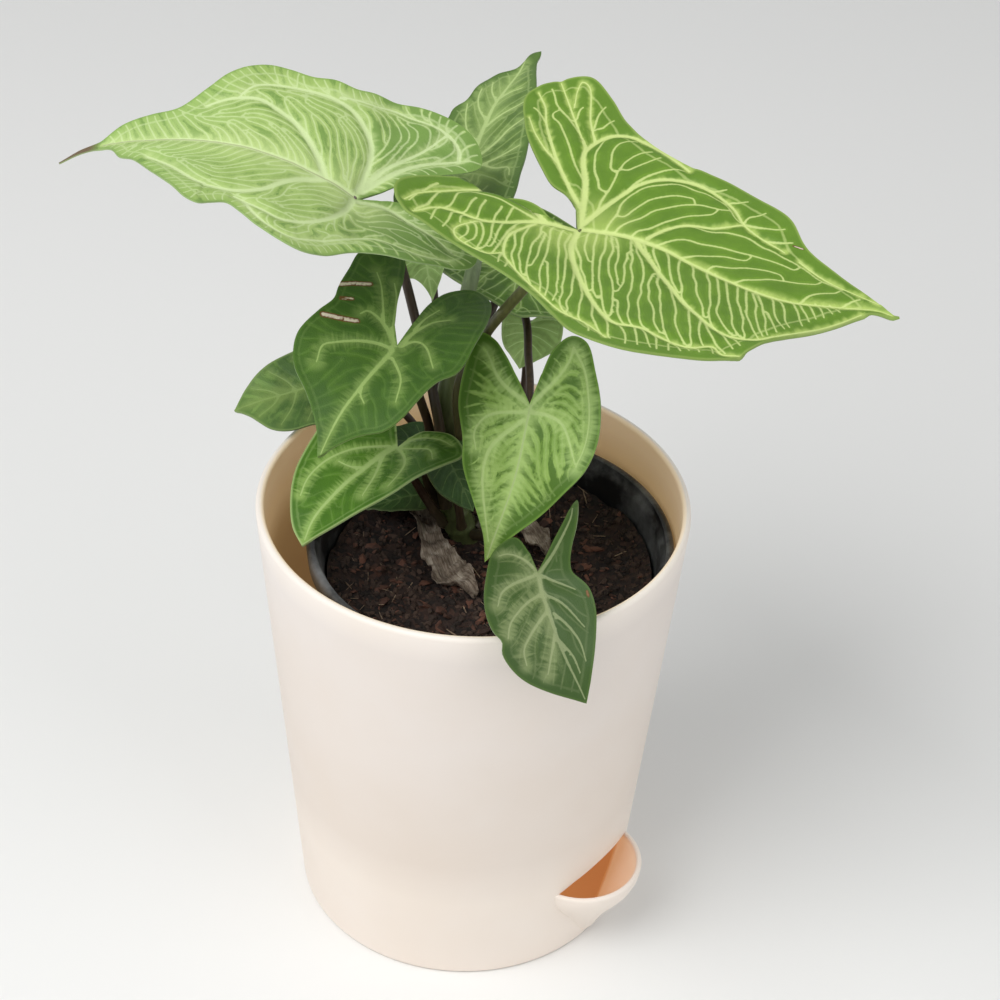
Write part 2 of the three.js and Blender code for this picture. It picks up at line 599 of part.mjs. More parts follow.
// The thin closed body between a sheet of triangles and its copy one thickness below.
function thicken(points, faces, rim, thickness) {
  const sheet = new THREE.BufferGeometry().setFromPoints(points);
  sheet.setIndex(faces.flat());
  sheet.computeVertexNormals();
  const normal = new THREE.Vector3();
  const top = [];
  const bottom = [];
  points.forEach((point, i) => {
    normal.fromBufferAttribute(sheet.attributes.normal, i).multiplyScalar(thickness / 2);
    top.push(point.clone().add(normal));
    bottom.push(point.clone().sub(normal));
  });
  const n = points.length;
  const closed = [...faces, ...faces.map(([a, b, c]) => [a + n, c + n, b + n])];
  rim.forEach((a, i) => {
    const b = rim[(i + 1) % rim.length];
    closed.push([a + n, b + n, b], [a + n, b, a]);
  });
  const body = new THREE.BufferGeometry().setFromPoints([...top, ...bottom]);
  body.setIndex(closed.flat());
  body.computeVertexNormals();
  return body;
}

// The outline runs from the stalk's seat along the right lobe to the tip, and back along the left
// lobe. Spokes reach it from three hubs: one on the midrib, and one for each side of the blade.
function bladeGeometry(leaf) {
  const right = outlineSide(leaf.right, leaf.tip, leaf.spokes);
  const left = outlineSide(leaf.left, leaf.tip, leaf.spokes).reverse().slice(1);
  const outline = [new THREE.Vector3(), ...right, ...left];
  const x = BLADE.hubShare * leaf.length;
  const y = BLADE.hubSide * leaf.length;
  const hubs = [[x, 0], ...(leaf.hubs ?? [[x, -y], [x, y]])];
  const hubOf = (spoke) => {
    const i = spoke % outline.length;
    if (i === 0 || i === right.length) return 0;
    return i < right.length ? 1 : 2;
  };
  const points = hubs.map((hub) => bend(leaf, ...hub, 0));
  outline.forEach((edge, i) => {
    const lift = leaf.lift[i <= right.length ? 1 : 0];
    const around = i / outline.length;
    const [hubX, hubY] = hubs[hubOf(i)];
    for (let ring = 1; ring <= leaf.rings; ring += 1) {
      const share = ring / leaf.rings;
      const flatX = THREE.MathUtils.lerp(hubX, edge.x, share);
      const flatY = THREE.MathUtils.lerp(hubY, edge.y, share);
      const point = bend(leaf, flatX, flatY, lift);
      point.z += leaf.wave * share ** 3 * Math.sin(4 * Math.PI * leaf.waves * around);
      points.push(point);
    }
  });
  const at = (spoke, ring) => hubs.length + (spoke % outline.length) * leaf.rings + ring - 1;
  const faces = [];
  outline.forEach((edge, i) => {
    faces.push([hubOf(i), at(i, 1), at(i + 1, 1)]);
    if (hubOf(i) !== hubOf(i + 1)) faces.push([hubOf(i), at(i + 1, 1), hubOf(i + 1)]);
    for (let ring = 1; ring < leaf.rings; ring += 1) {
      faces.push([at(i, ring), at(i, ring + 1), at(i + 1, ring + 1)]);
      faces.push([at(i, ring), at(i + 1, ring + 1), at(i + 1, ring)]);
    }
  });
  const rim = outline.map((edge, i) => at(i, leaf.rings));
  return thicken(points, faces, rim, BLADE.thickness);
}

function leafTurn(leaf) {
  return new THREE.Euler(leaf.roll * DEG, -leaf.pitch * DEG, leaf.heading * DEG, 'ZYX');
}

// The stalk starts beside the stem and ends just under the blade, at its seat.
function stalkRoute(leaf) {
  const { azimuth, height, radii, route } = leaf.stalk;
  const points = [...route];
  if (azimuth !== null) {
    const stem = stemAt(height);
    const [dx, dy] = onCircle(stem.radius + GAP, azimuth);
    const side = new THREE.Vector3(dx, dy, 0).normalize();
    const beside = new THREE.Vector3(stem.x + dx, stem.y + dy, height);
    const leaving = new THREE.Vector3(...points[0]).sub(beside).normalize();
    const slant = Math.sqrt(1 - leaving.dot(side) ** 2);
    points.unshift(beside.addScaledVector(side, radii[0] * slant).toArray());
  }
  const seat = new THREE.Vector3(...leaf.at);
  const up = new THREE.Vector3(0, 0, 1).applyEuler(leafTurn(leaf));
  const before = new THREE.Vector3(...points[points.length - 1]);
  const along = seat.clone().sub(before).normalize();
  const slant = Math.sqrt(1 - along.dot(up) ** 2);
  seat.addScaledVector(up, -(BLADE.thickness / 2 + SEAT_GAP + radii[1] * slant));
  points.push(seat.toArray());
  return points;
}

for (const leaf of LEAVES) {
  const blade = addPart(`leaf_${leaf.name}`, bladeGeometry(leaf), leaf.color, 0.5);
  blade.position.set(...leaf.at);
  blade.rotation.copy(leafTurn(leaf));
  const steps = Math.max(STALK.leastSteps, leaf.stalk.route.length * STALK.stepsPerPoint + 1);
  const stalk = stalkGeometry(stalkRoute(leaf), leaf.stalk.radii, steps, STALK.sides);
  addPart(`stalk_${leaf.name}`, stalk, 0x6b6a3e, 0.55);
}

// ---- withered leaves on the soil ----------------------------------------------------------

function witheredGeometry(piece) {
  const middle = new THREE.CatmullRomCurve3(
    piece.line.map(([x, y]) => new THREE.Vector3(x, y, 0)), false, 'centripetal');
  const widths = new THREE.SplineCurve(piece.half.map((half, i) => new THREE.Vector2(i, half)));
  const points = [];
  for (let i = 0; i <= piece.steps; i += 1) {
    const share = i / piece.steps;
    const centre = middle.getPoint(share);
    const ahead = middle.getTangent(share);
    const half = widths.getPoint(share).y;
    for (let side = 0; side <= piece.sides; side += 1) {
      const across = (2 * side) / piece.sides - 1;
      const x = centre.x - ahead.y * half * across;
      const y = centre.y + ahead.x * half * across;
      const wave = PAPER.curlWave * Math.sin(PAPER.waves * share * Math.PI + across);
      const curl = piece.curl * across ** 2 * (PAPER.curlSteady + wave);
      points.push(new THREE.Vector3(x, y, soilHeight(x, y) + PAPER.lift + curl));
    }
  }
  const at = (step, side) => step * (piece.sides + 1) + side;
  const faces = [];
  for (let i = 0; i < piece.steps; i += 1) {
    for (let side = 0; side < piece.sides; side += 1) {
      faces.push([at(i, side), at(i + 1, side), at(i + 1, side + 1)]);
      faces.push([at(i, side), at(i + 1, side + 1), at(i, side + 1)]);
    }
  }
  const rim = [];
  for (let i = 0; i < piece.steps; i += 1) rim.push(at(i, 0));
  for (let side = 0; side < piece.sides; side += 1) rim.push(at(piece.steps, side));
  for (let i = piece.steps; i > 0; i -= 1) rim.push(at(i, piece.sides));
  for (let side = piece.sides; side > 0; side -= 1) rim.push(at(0, side));
  return thicken(points, faces, rim, BLADE.thickness);
}

for (const piece of WITHERED) {
  addPart(`withered_leaf_${piece.name}`, witheredGeometry(piece), 0x8a8172, 0.9);
}

export default plant;
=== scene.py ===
# Arrowhead plant in a black nursery pot, set in a cream self-watering pot with a water scoop.
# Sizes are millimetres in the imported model's frame: +Z up, the origin under the middle of the
# cream pot, and the leaves best seen from -Y.
import math
import random

import bmesh
import bpy
import numpy as np
from mathutils import Matrix, Vector, noise
from mathutils.geometry import delaunay_2d_cdt


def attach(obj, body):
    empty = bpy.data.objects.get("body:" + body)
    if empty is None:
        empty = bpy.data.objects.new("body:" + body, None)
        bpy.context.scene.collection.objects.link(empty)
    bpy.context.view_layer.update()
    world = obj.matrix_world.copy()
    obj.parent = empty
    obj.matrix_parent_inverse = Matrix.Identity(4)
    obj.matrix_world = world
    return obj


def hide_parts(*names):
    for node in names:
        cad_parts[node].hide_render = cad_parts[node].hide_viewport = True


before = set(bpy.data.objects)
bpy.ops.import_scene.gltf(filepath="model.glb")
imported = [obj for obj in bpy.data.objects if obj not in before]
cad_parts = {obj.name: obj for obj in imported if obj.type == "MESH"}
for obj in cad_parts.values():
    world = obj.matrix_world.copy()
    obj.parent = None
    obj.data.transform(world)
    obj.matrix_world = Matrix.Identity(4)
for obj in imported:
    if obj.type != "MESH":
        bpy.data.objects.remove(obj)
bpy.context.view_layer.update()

# ---- cream outer pot -------------------------------------------------------------------------
# Injection-moulded polypropylene, cream and a little see-through, so that light bouncing about inside it
# comes out tan; that tan is painted into the inside's colour, with a painted glow. The scoop that water is
# poured into is moulded in one with the wall.

MM = 0.001
POT_HEIGHT = 138
POT_RIM_RADIUS = 60
POT_BASE_RADIUS = 48.5
POT_WALL = 1.8
POT_FLOOR = 2.4
LIP_WIDTH = 2.4
LIP_DEPTH = 5
LIP_SLOPE = 2
FOOT_ROUND = 1.4
FLOOR_ROUND = 2
SCOOP_AZIMUTH = -37
SCOOP_AXIS_RADIUS = 43.8
SCOOP_RADIUS = 18
SCOOP_WALL = 1.7
SCOOP_RIM_HEIGHT = 27.5
# (radius, height) points: the top of the opening through the wall, and the scoop's outside.
SCOOP_ARCH = [(13, 29.5), (7.3, 31), (0, 31)]
SCOOP_SIDE = [(0, 3), (6, 3), (7.4, 6), (9.2, 9.6), (11.6, 13.6), (14.2, 17.4), (16.4, 21), (17.6, 24)]
POT_STEPS = 160
SCOOP_STEPS = 96
# Inside, the painted tan that stands for light come through the wall is deepest below the first height and
# fades out at the second.
PAINTED_TAN_DEEPEST = 96
PAINTED_TAN_FADED = 133


def linear(hex_colour):
    """An sRGB hex colour as the linear values that a shader takes."""
    channels = [int(hex_colour[i:i + 2], 16) / 255 for i in (1, 3, 5)]
    return [c / 12.92 if c <= 0.04045 else ((c + 0.055) / 1.055) ** 2.4 for c in channels] + [1]


def add_node(tree, kind, inputs=None, stops=None, **settings):
    """Adds a node with its settings and links. A kind that names no family is a shader node. An
    input is a value, or the socket or the node that feeds it."""
    node = tree.nodes.new(kind if "Node" in kind else "ShaderNode" + kind)
    for name, value in settings.items():
        setattr(node, name, value)
    if stops:
        ramp = node.color_ramp.elements
        while len(ramp) < len(stops):
            ramp.new(1)
        for element, (place, colour) in zip(ramp, stops):
            element.position = place
            element.color = linear(colour) if isinstance(colour, str) else [colour] * 3 + [1]
    for key, value in (inputs or {}).items():
        if isinstance(value, bpy.types.Node):
            value = next(output for output in value.outputs if output.enabled)
        if isinstance(value, bpy.types.NodeSocket):
            tree.links.new(value, node.inputs[key])
        else:
            node.inputs[key].default_value = value
    return node


def new_material(name, **sockets):
    """A material with one Principled shader, and its node tree."""
    material = bpy.data.materials.new(name)
    material.use_nodes = True
    tree = material.node_tree
    tree.nodes.clear()
    shader = add_node(tree, "BsdfPrincipled", {k.replace("_", " "): v for k, v in sockets.items()})
    add_node(tree, "OutputMaterial", {"Surface": shader.outputs["BSDF"]})
    return material, tree, shader


def smoothed(mesh, angle=40):
    """Smooth shading, with edges sharper than the angle in degrees kept sharp."""
    mesh.shade_smooth()
    mesh.set_sharp_from_angle(angle=math.radians(angle))


def make_piece(name, points, faces, material, slot, *nodes, angle=40):
    """A finished piece from points in millimetres, which stands for the named CAD nodes."""
    mesh = bpy.data.meshes.new(name)
    mesh.from_pydata([tuple(c * MM for c in p) for p in points], [], faces)
    mesh.update()
    smoothed(mesh, angle)
    mesh.materials.append(material)
    piece = bpy.data.objects.new(name, mesh)
    bpy.context.scene.collection.objects.link(piece)
    return tie(piece, slot, *nodes)


def tie(piece, slot, *nodes):
    """Ties a piece to the part's one body and hides the CAD nodes that it stands for. slot is not used."""
    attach(piece, "root")
    if nodes:
        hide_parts(*nodes)
    return piece


def turned(profile, steps, centre=(0, 0)):
    """Points and faces of a closed (radius, height) profile turned about a Z axis."""
    points, faces, rings = [], [], []
    for radius, height in profile:
        if radius == 0:
            rings.append([len(points)] * steps)
            points.append((centre[0], centre[1], height))
            continue
        rings.append([len(points) + i for i in range(steps)])
        for i in range(steps):
            turn = 2 * math.pi * i / steps
            points.append((centre[0] + radius * math.cos(turn), centre[1] + radius * math.sin(turn),
                           height))
    for low, high in zip(rings, rings[1:]):
        for i in range(steps):
            j = (i + 1) % steps
            face = [low[i], low[j], high[j], high[i]]
            face = [v for k, v in enumerate(face) if v != face[k - 1]]
            if len(face) > 2:
                faces.append(face)
    return points, faces


def raw_object(name, points, faces):
    mesh = bpy.data.meshes.new(name)
    mesh.from_pydata([tuple(c * MM for c in p) for p in points], [], faces)
    piece = bpy.data.objects.new(name, mesh)
    bpy.context.scene.collection.objects.link(piece)
    return piece


def combine(piece, other, operation):
    """Joins or cuts piece with other, and removes other."""
    cut = piece.modifiers.new("cut", "BOOLEAN")
    cut.operation = operation
    cut.object = other
    cut.solver = "EXACT"
    graph = bpy.context.evaluated_depsgraph_get()
    mesh = bpy.data.meshes.new_from_object(piece.evaluated_get(graph))
    piece.modifiers.clear()
    piece.data = mesh
    bpy.data.objects.remove(other)
    return piece


def pot_radius(height):
    """The cream pot's outer radius at a height."""
    return POT_BASE_RADIUS + (POT_RIM_RADIUS - POT_BASE_RADIUS) * height / POT_HEIGHT


def arc(centre, radius, start, end, count):
    """Profile points along a round of the given radius, angles in degrees."""
    turns = [math.radians(start + (end - start) * i / count) for i in range(count + 1)]
    return [(centre[0] + radius * math.cos(t), centre[1] + radius * math.sin(t)) for t in turns]


lip_round = LIP_WIDTH / 2
lip_inside = POT_RIM_RADIUS - LIP_WIDTH
lip_end = POT_HEIGHT - LIP_DEPTH - LIP_SLOPE
middle = POT_HEIGHT / 2
shell = raw_object("pot", *turned([
    (0, 0),
    *arc((POT_BASE_RADIUS - FOOT_ROUND, FOOT_ROUND), FOOT_ROUND, -90, 0, 4),
    (pot_radius(middle), middle),
    *arc((POT_RIM_RADIUS - lip_round, POT_HEIGHT - lip_round), lip_round, 0, 180, 8),
    (lip_inside, POT_HEIGHT - LIP_DEPTH),
    (pot_radius(lip_end) - POT_WALL, lip_end),
    (pot_radius(middle) - POT_WALL, middle),
    *arc((POT_BASE_RADIUS - POT_WALL - FLOOR_ROUND, POT_FLOOR + FLOOR_ROUND), FLOOR_ROUND, 0, -90, 4),
    (0, POT_FLOOR),
], POT_STEPS))
scoop_turn = math.radians(SCOOP_AZIMUTH)
scoop_axis = (SCOOP_AXIS_RADIUS * math.cos(scoop_turn), SCOOP_AXIS_RADIUS * math.sin(scoop_turn))
scoop_lip = SCOOP_WALL / 2
cup = raw_object("cup", *turned([
    *SCOOP_SIDE,
    *arc((SCOOP_RADIUS - scoop_lip, SCOOP_RIM_HEIGHT - scoop_lip), scoop_lip, 0, 90, 4),
    (0, SCOOP_RIM_HEIGHT),
], SCOOP_STEPS, scoop_axis))
mid_wall = POT_WALL / 2
cavity = raw_object("cavity", *turned([
    (0, POT_FLOOR / 2),
    (POT_BASE_RADIUS - mid_wall, POT_FLOOR / 2),
    (pot_radius(middle) - mid_wall, middle),
    (0, middle),
], POT_STEPS))
hollow = raw_object("hollow", *turned([
    *[(max(radius - SCOOP_WALL, 0), height + SCOOP_WALL) for radius, height in SCOOP_SIDE],
    *arc((SCOOP_RADIUS - scoop_lip, SCOOP_RIM_HEIGHT - scoop_lip), scoop_lip, 180, 105, 4),
    *SCOOP_ARCH,
], SCOOP_STEPS, scoop_axis))
combine(cup, cavity, "DIFFERENCE")
combine(shell, cup, "UNION")
combine(shell, hollow, "DIFFERENCE")

# Moulded polypropylene: a satin cream skin with faint clouds of dust and scuffs, painted paler near the
# floor and at the rim, and inside the wall a painted tan and a painted glow for light come through the
# wall.
cream, tree, shader = new_material("Moulded cream polypropylene with painted tan and glow")
place = add_node(tree, "TexCoord").outputs["Object"]
height = add_node(tree, "SeparateXYZ", {0: place}).outputs["Z"]
flat_place = add_node(tree, "VectorMath", {0: place, 1: (1, 1, 0)}, operation="MULTIPLY")
from_axis = add_node(tree, "VectorMath", {0: flat_place}, operation="LENGTH")
slope = (POT_RIM_RADIUS - POT_BASE_RADIUS) / POT_HEIGHT
skin_depth = 0.6
within = add_node(tree, "Math", {0: height, 1: slope, 2: (POT_BASE_RADIUS - skin_depth * POT_WALL) * MM},
                  operation="MULTIPLY_ADD")
within = add_node(tree, "Math", {0: within, 1: from_axis}, operation="SUBTRACT")
within = add_node(tree, "MapRange", {0: within, 1: 0, 2: 0.8 * MM})
# Painted light: inside the wall the cream is coloured tan, deepest low down, for light come through the
# wall.
depth = add_node(tree, "MapRange", {0: height, 1: PAINTED_TAN_DEEPEST * MM, 2: PAINTED_TAN_FADED * MM})
painted_through_light_tan = add_node(tree, "ValToRGB", {0: depth},
                    stops=[(0, "#D8A066"), (0.45, "#EFCB98"), (0.8, "#F2DAB2"), (1, "#F3E6D2")])
share_up = add_node(tree, "MapRange", {0: height, 1: 0, 2: POT_HEIGHT * MM})
# Painted light: the outside is paler and warmer near the foot, for light bounced up off the floor, and
# paler at the top, for a highlight on the rim's lip.
outer_cream_painted_light = add_node(tree, "ValToRGB", {0: share_up}, stops=[
    (0, "#FBF6F2"), (0.22, "#FAF5F0"), (0.34, "#EFE9E4"), (0.93, "#ECEAEA"), (1, "#FAF8F6")])
clouds = add_node(tree, "TexNoise", {"Vector": place, "Scale": 22, "Detail": 3, "Roughness": 0.6})
dusted = add_node(tree, "Mix", {0: clouds, 6: linear("#F4EADF"), 7: linear("#FBF6F1")}, data_type="RGBA")
outer = add_node(tree, "Mix", {0: 1.0, 6: outer_cream_painted_light, 7: dusted}, data_type="RGBA", blend_type="MULTIPLY")
coloured = add_node(tree, "Mix", {0: within, 6: outer, 7: painted_through_light_tan}, data_type="RGBA")
tree.links.new(coloured.outputs[2], shader.inputs["Base Color"])
# Painted light: the inside of the wall glows by emission, though it is no lamp, standing for light that
# comes through it.
painted_glow_by_height = add_node(tree, "ValToRGB", {0: share_up},
                       stops=[(0.24, 0.22), (0.25, 0.14), (0.8, 0.18), (0.95, 0.28)])
glow = add_node(tree, "Math", {0: painted_glow_by_height, 1: within}, operation="MULTIPLY")
# The painted glow reaches into the scoop too, inside its cup and no higher than its rim.
to_cup = add_node(tree, "VectorMath", {0: flat_place, 1: [c * MM for c in (*scoop_axis, 0)]},
                  operation="DISTANCE")
(low_radius, low), (high_radius, high) = SCOOP_SIDE[2], SCOOP_SIDE[-1]
cup_inside = add_node(tree, "MapRange", {0: height, 1: low * MM, 2: high * MM,
                                         3: (low_radius - skin_depth * SCOOP_WALL) * MM,
                                         4: (high_radius - skin_depth * SCOOP_WALL) * MM})
in_cup = add_node(tree, "Math", {0: cup_inside, 1: to_cup}, operation="SUBTRACT")
in_cup = add_node(tree, "MapRange", {0: in_cup, 1: 0, 2: 0.5 * MM, 3: 0, 4: 0.22})
cup_foot = SCOOP_SIDE[0][1]
beside_cup = add_node(tree, "Math", {0: height, 1: 0.5 * (SCOOP_RIM_HEIGHT + cup_foot) * MM,
                                     2: 0.5 * (SCOOP_RIM_HEIGHT - cup_foot) * MM}, operation="COMPARE")
in_cup = add_node(tree, "Math", {0: in_cup, 1: beside_cup}, operation="MULTIPLY")
glow = add_node(tree, "Math", {0: glow, 1: in_cup}, operation="MAXIMUM")
shader.inputs["Emission Color"].default_value = linear("#D8AC72")
tree.links.new(glow.outputs[0], shader.inputs["Emission Strength"])
scuffs = add_node(tree, "TexNoise", {"Vector": place, "Scale": 60, "Detail": 4})
rough = add_node(tree, "MapRange", {0: scuffs, 3: 0.36, 4: 0.52})
tree.links.new(rough.outputs[0], shader.inputs["Roughness"])
grain = add_node(tree, "TexNoise", {"Vector": place, "Scale": 900, "Detail": 2})
bump = add_node(tree, "Bump", {"Strength": 0.08, "Distance": 0.0003, "Height": grain})
tree.links.new(bump.outputs[0], shader.inputs["Normal"])

shell.name = shell.data.name = "cream_pot"
shell.data.materials.clear()
shell.data.materials.append(cream)
smoothed(shell.data, 34)
tie(shell, "outer_pot", "outer_pot")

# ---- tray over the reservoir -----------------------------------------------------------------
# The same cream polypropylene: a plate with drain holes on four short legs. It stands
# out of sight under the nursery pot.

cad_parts["water_tray"].data.materials.clear()
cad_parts["water_tray"].data.materials.append(cream)

# ---- black nursery pot -----------------------------------------------------------------------
# Thin vacuum-formed polystyrene, black, with a rolled rim that stands proud of the wall and a
# small ledge inside it. Watering has left a grey bloom of dust and lime on it, painted pale enough to
# stand also for highlights.

NURSERY_CENTRE = (5, 0)
NURSERY_TOP = 125
NURSERY_RIM_RADIUS = 51.4
NURSERY_LIP = 2.8
NURSERY_BASE_RADIUS = 40
NURSERY_BASE = 35.4
NURSERY_WALL = 1.1
NURSERY_RIM_DEPTH = 6
NURSERY_STEPS = 144
# (radius, height) offsets: the rim's outside from its radius and its lower edge, and the ledge
# inside it from the inner wall and the top.
RIM_SIDE = [(-0.8, -0.2), (-0.5, 0.4)]
RIM_ROLL = 1.4
INNER_LEDGE = [(1.5, -1.2), (1.1, -2.2), (0.2, -3.2), (-0.1, -4.6)]
nursery_body = NURSERY_RIM_RADIUS - NURSERY_LIP


def nursery_radius(height):
    """The black pot's outer radius at a height, below its rim."""
    share = (height - NURSERY_BASE) / (NURSERY_TOP - NURSERY_BASE)
    return NURSERY_BASE_RADIUS + (nursery_body - NURSERY_BASE_RADIUS) * share


under_rim = NURSERY_TOP - NURSERY_RIM_DEPTH
inner_wall = nursery_body - NURSERY_WALL
inner_base = NURSERY_BASE_RADIUS - NURSERY_WALL
points, faces = turned([
    (0, NURSERY_BASE),
    *arc((NURSERY_BASE_RADIUS - 1, NURSERY_BASE + 1), 1, -90, 0, 3),
    (nursery_radius(under_rim - 1.2), under_rim - 1.2),
    *[(NURSERY_RIM_RADIUS + out, under_rim + up) for out, up in RIM_SIDE],
    *arc((NURSERY_RIM_RADIUS - 1.5, NURSERY_TOP - RIM_ROLL), RIM_ROLL, -4, 130, 6),
    *[(inner_wall + out, NURSERY_TOP + up) for out, up in INNER_LEDGE],
    (nursery_radius(under_rim - 6) - NURSERY_WALL, under_rim - 6),
    (inner_base, NURSERY_BASE + 2),
    (inner_base - 0.6, NURSERY_BASE + 1.4),
    (0, NURSERY_BASE + 1.4),
], NURSERY_STEPS, NURSERY_CENTRE)

# Vacuum-formed polystyrene: smooth black, dulled in patches by a grey bloom of dust whose pale grey is
# partly a painted highlight.
black, tree, shader = new_material("Dusty black polystyrene")
place = add_node(tree, "TexCoord").outputs["Object"]
bloom = add_node(tree, "TexNoise", {"Vector": place, "Scale": 45, "Detail": 6, "Roughness": 0.7})
dust = add_node(tree, "MapRange", {0: bloom, 1: 0.45, 2: 0.75})
dust_and_highlight = add_node(tree, "Mix", {0: dust, 6: linear("#1E1F21"), 7: linear("#7E8082")}, data_type="RGBA")
tree.links.new(dust_and_highlight.outputs[2], shader.inputs["Base Color"])
rough = add_node(tree, "MapRange", {0: dust, 3: 0.32, 4: 0.6})
tree.links.new(rough.outputs[0], shader.inputs["Roughness"])
make_piece("nursery_pot_black", points, faces, black, "nursery_pot", "nursery_pot", angle=50)

# ---- potting soil ----------------------------------------------------------------------------
# Coco peat and composted bark, damp and nearly black, sunk a little in the middle. Crumbs,
# reddish bark chips and pale fibres lie loose on it.

SOIL_LEVEL = 109
SOIL_EDGE_RISE = 6.5
SOIL_SLOPE = 0.03
SOIL_BUMPS = 0.8
SOIL_RIM_RADIUS = 45.6
SOIL_BOTTOM = 37.2
SOIL_BOTTOM_RADIUS = 37.4
SOIL_RINGS = 56
SOIL_STEPS = 150


def soil_height(x, y):
    """The soil's level, which rises to the pot's wall and rolls gently."""
    wave = math.sin(x * 0.31 + 1.1) * math.cos(y * 0.27) + 0.5 * math.sin(x * 0.13 - y * 0.19)
    out = math.hypot(x - NURSERY_CENTRE[0], y) / nursery_body
    return SOIL_LEVEL + SOIL_EDGE_RISE * out ** 4 + SOIL_SLOPE * x + SOIL_BUMPS * wave


def crumbly_height(x, y):
    """The soil's surface with clods of about 3 mm and grit of about 1 mm."""
    spot = Vector((x, y, 0))
    clod = noise.fractal(spot * 0.35, 1.0, 2.1, 4) * 0.8
    grit = abs(noise.noise(spot * 1.1)) * 0.9
    return soil_height(x, y) - 0.7 + clod + grit


soil_points = [(*NURSERY_CENTRE, crumbly_height(*NURSERY_CENTRE))]
soil_faces = []
soil_rings = [[0] * SOIL_STEPS]
for radius, height in [*((SOIL_RIM_RADIUS * k / SOIL_RINGS, None) for k in range(1, SOIL_RINGS + 1)),
                       (SOIL_BOTTOM_RADIUS, SOIL_BOTTOM)]:
    soil_rings.append([len(soil_points) + i for i in range(SOIL_STEPS)])
    for i in range(SOIL_STEPS):
        turn = 2 * math.pi * i / SOIL_STEPS
        x = NURSERY_CENTRE[0] + radius * math.cos(turn)
        y = NURSERY_CENTRE[1] + radius * math.sin(turn)
        soil_points.append((x, y, crumbly_height(x, y) if height is None else height))
soil_rings.append([len(soil_points)] * SOIL_STEPS)
soil_points.append((*NURSERY_CENTRE, SOIL_BOTTOM))
for near, far in zip(soil_rings, soil_rings[1:]):
    for i in range(SOIL_STEPS):
        j = (i + 1) % SOIL_STEPS
        face = [near[i], far[i], far[j], near[j]]
        soil_faces.append([v for k, v in enumerate(face) if v != face[k - 1]])

# Damp coco peat: matt, nearly black, with single brown grains of 1 to 2 mm.
soil_mix, tree, shader = new_material("Damp coco peat and bark", Roughness=0.9)
place = add_node(tree, "TexCoord").outputs["Object"]
grains = add_node(tree, "TexVoronoi", {"Vector": place, "Scale": 620})
tone = add_node(tree, "SeparateColor", {0: grains.outputs["Color"]})
patch = add_node(tree, "TexNoise", {"Vector": place, "Scale": 90, "Detail": 5})
shade = add_node(tree, "Math", {0: tone, 1: 0.55}, operation="MULTIPLY")
shade = add_node(tree, "Math", {0: patch, 1: 0.5, 2: shade}, operation="MULTIPLY_ADD")
earth = add_node(tree, "ValToRGB", {0: shade}, stops=[
    (0.2, "#100B09"), (0.5, "#241813"), (0.75, "#37251D"), (0.9, "#4E3226"), (1, "#6A4A3A")])
tree.links.new(earth.outputs[0], shader.inputs["Base Color"])
bump = add_node(tree, "Bump", {"Strength": 0.7, "Distance": 0.0006, "Height": grains.outputs["Distance"]})
tree.links.new(bump.outputs[0], shader.inputs["Normal"])
soil = make_piece("soil_surface", soil_points, soil_faces, soil_mix, "potting_soil", "potting_soil",
                  angle=70)


def chip_material(name, dark, light, roughness):
    """Loose bits of one kind, mottled between two browns so that each looks a little different."""
    material, tree, shader = new_material(name, Roughness=roughness)
    place = add_node(tree, "TexCoord").outputs["Object"]
    cells = add_node(tree, "TexVoronoi", {"Vector": place, "Scale": 260})
    tone = add_node(tree, "SeparateColor", {0: cells.outputs["Color"]})
    colour = add_node(tree, "Mix", {0: tone, 6: linear(dark), 7: linear(light)}, data_type="RGBA")
    tree.links.new(colour.outputs[2], shader.inputs["Base Color"])
    return material


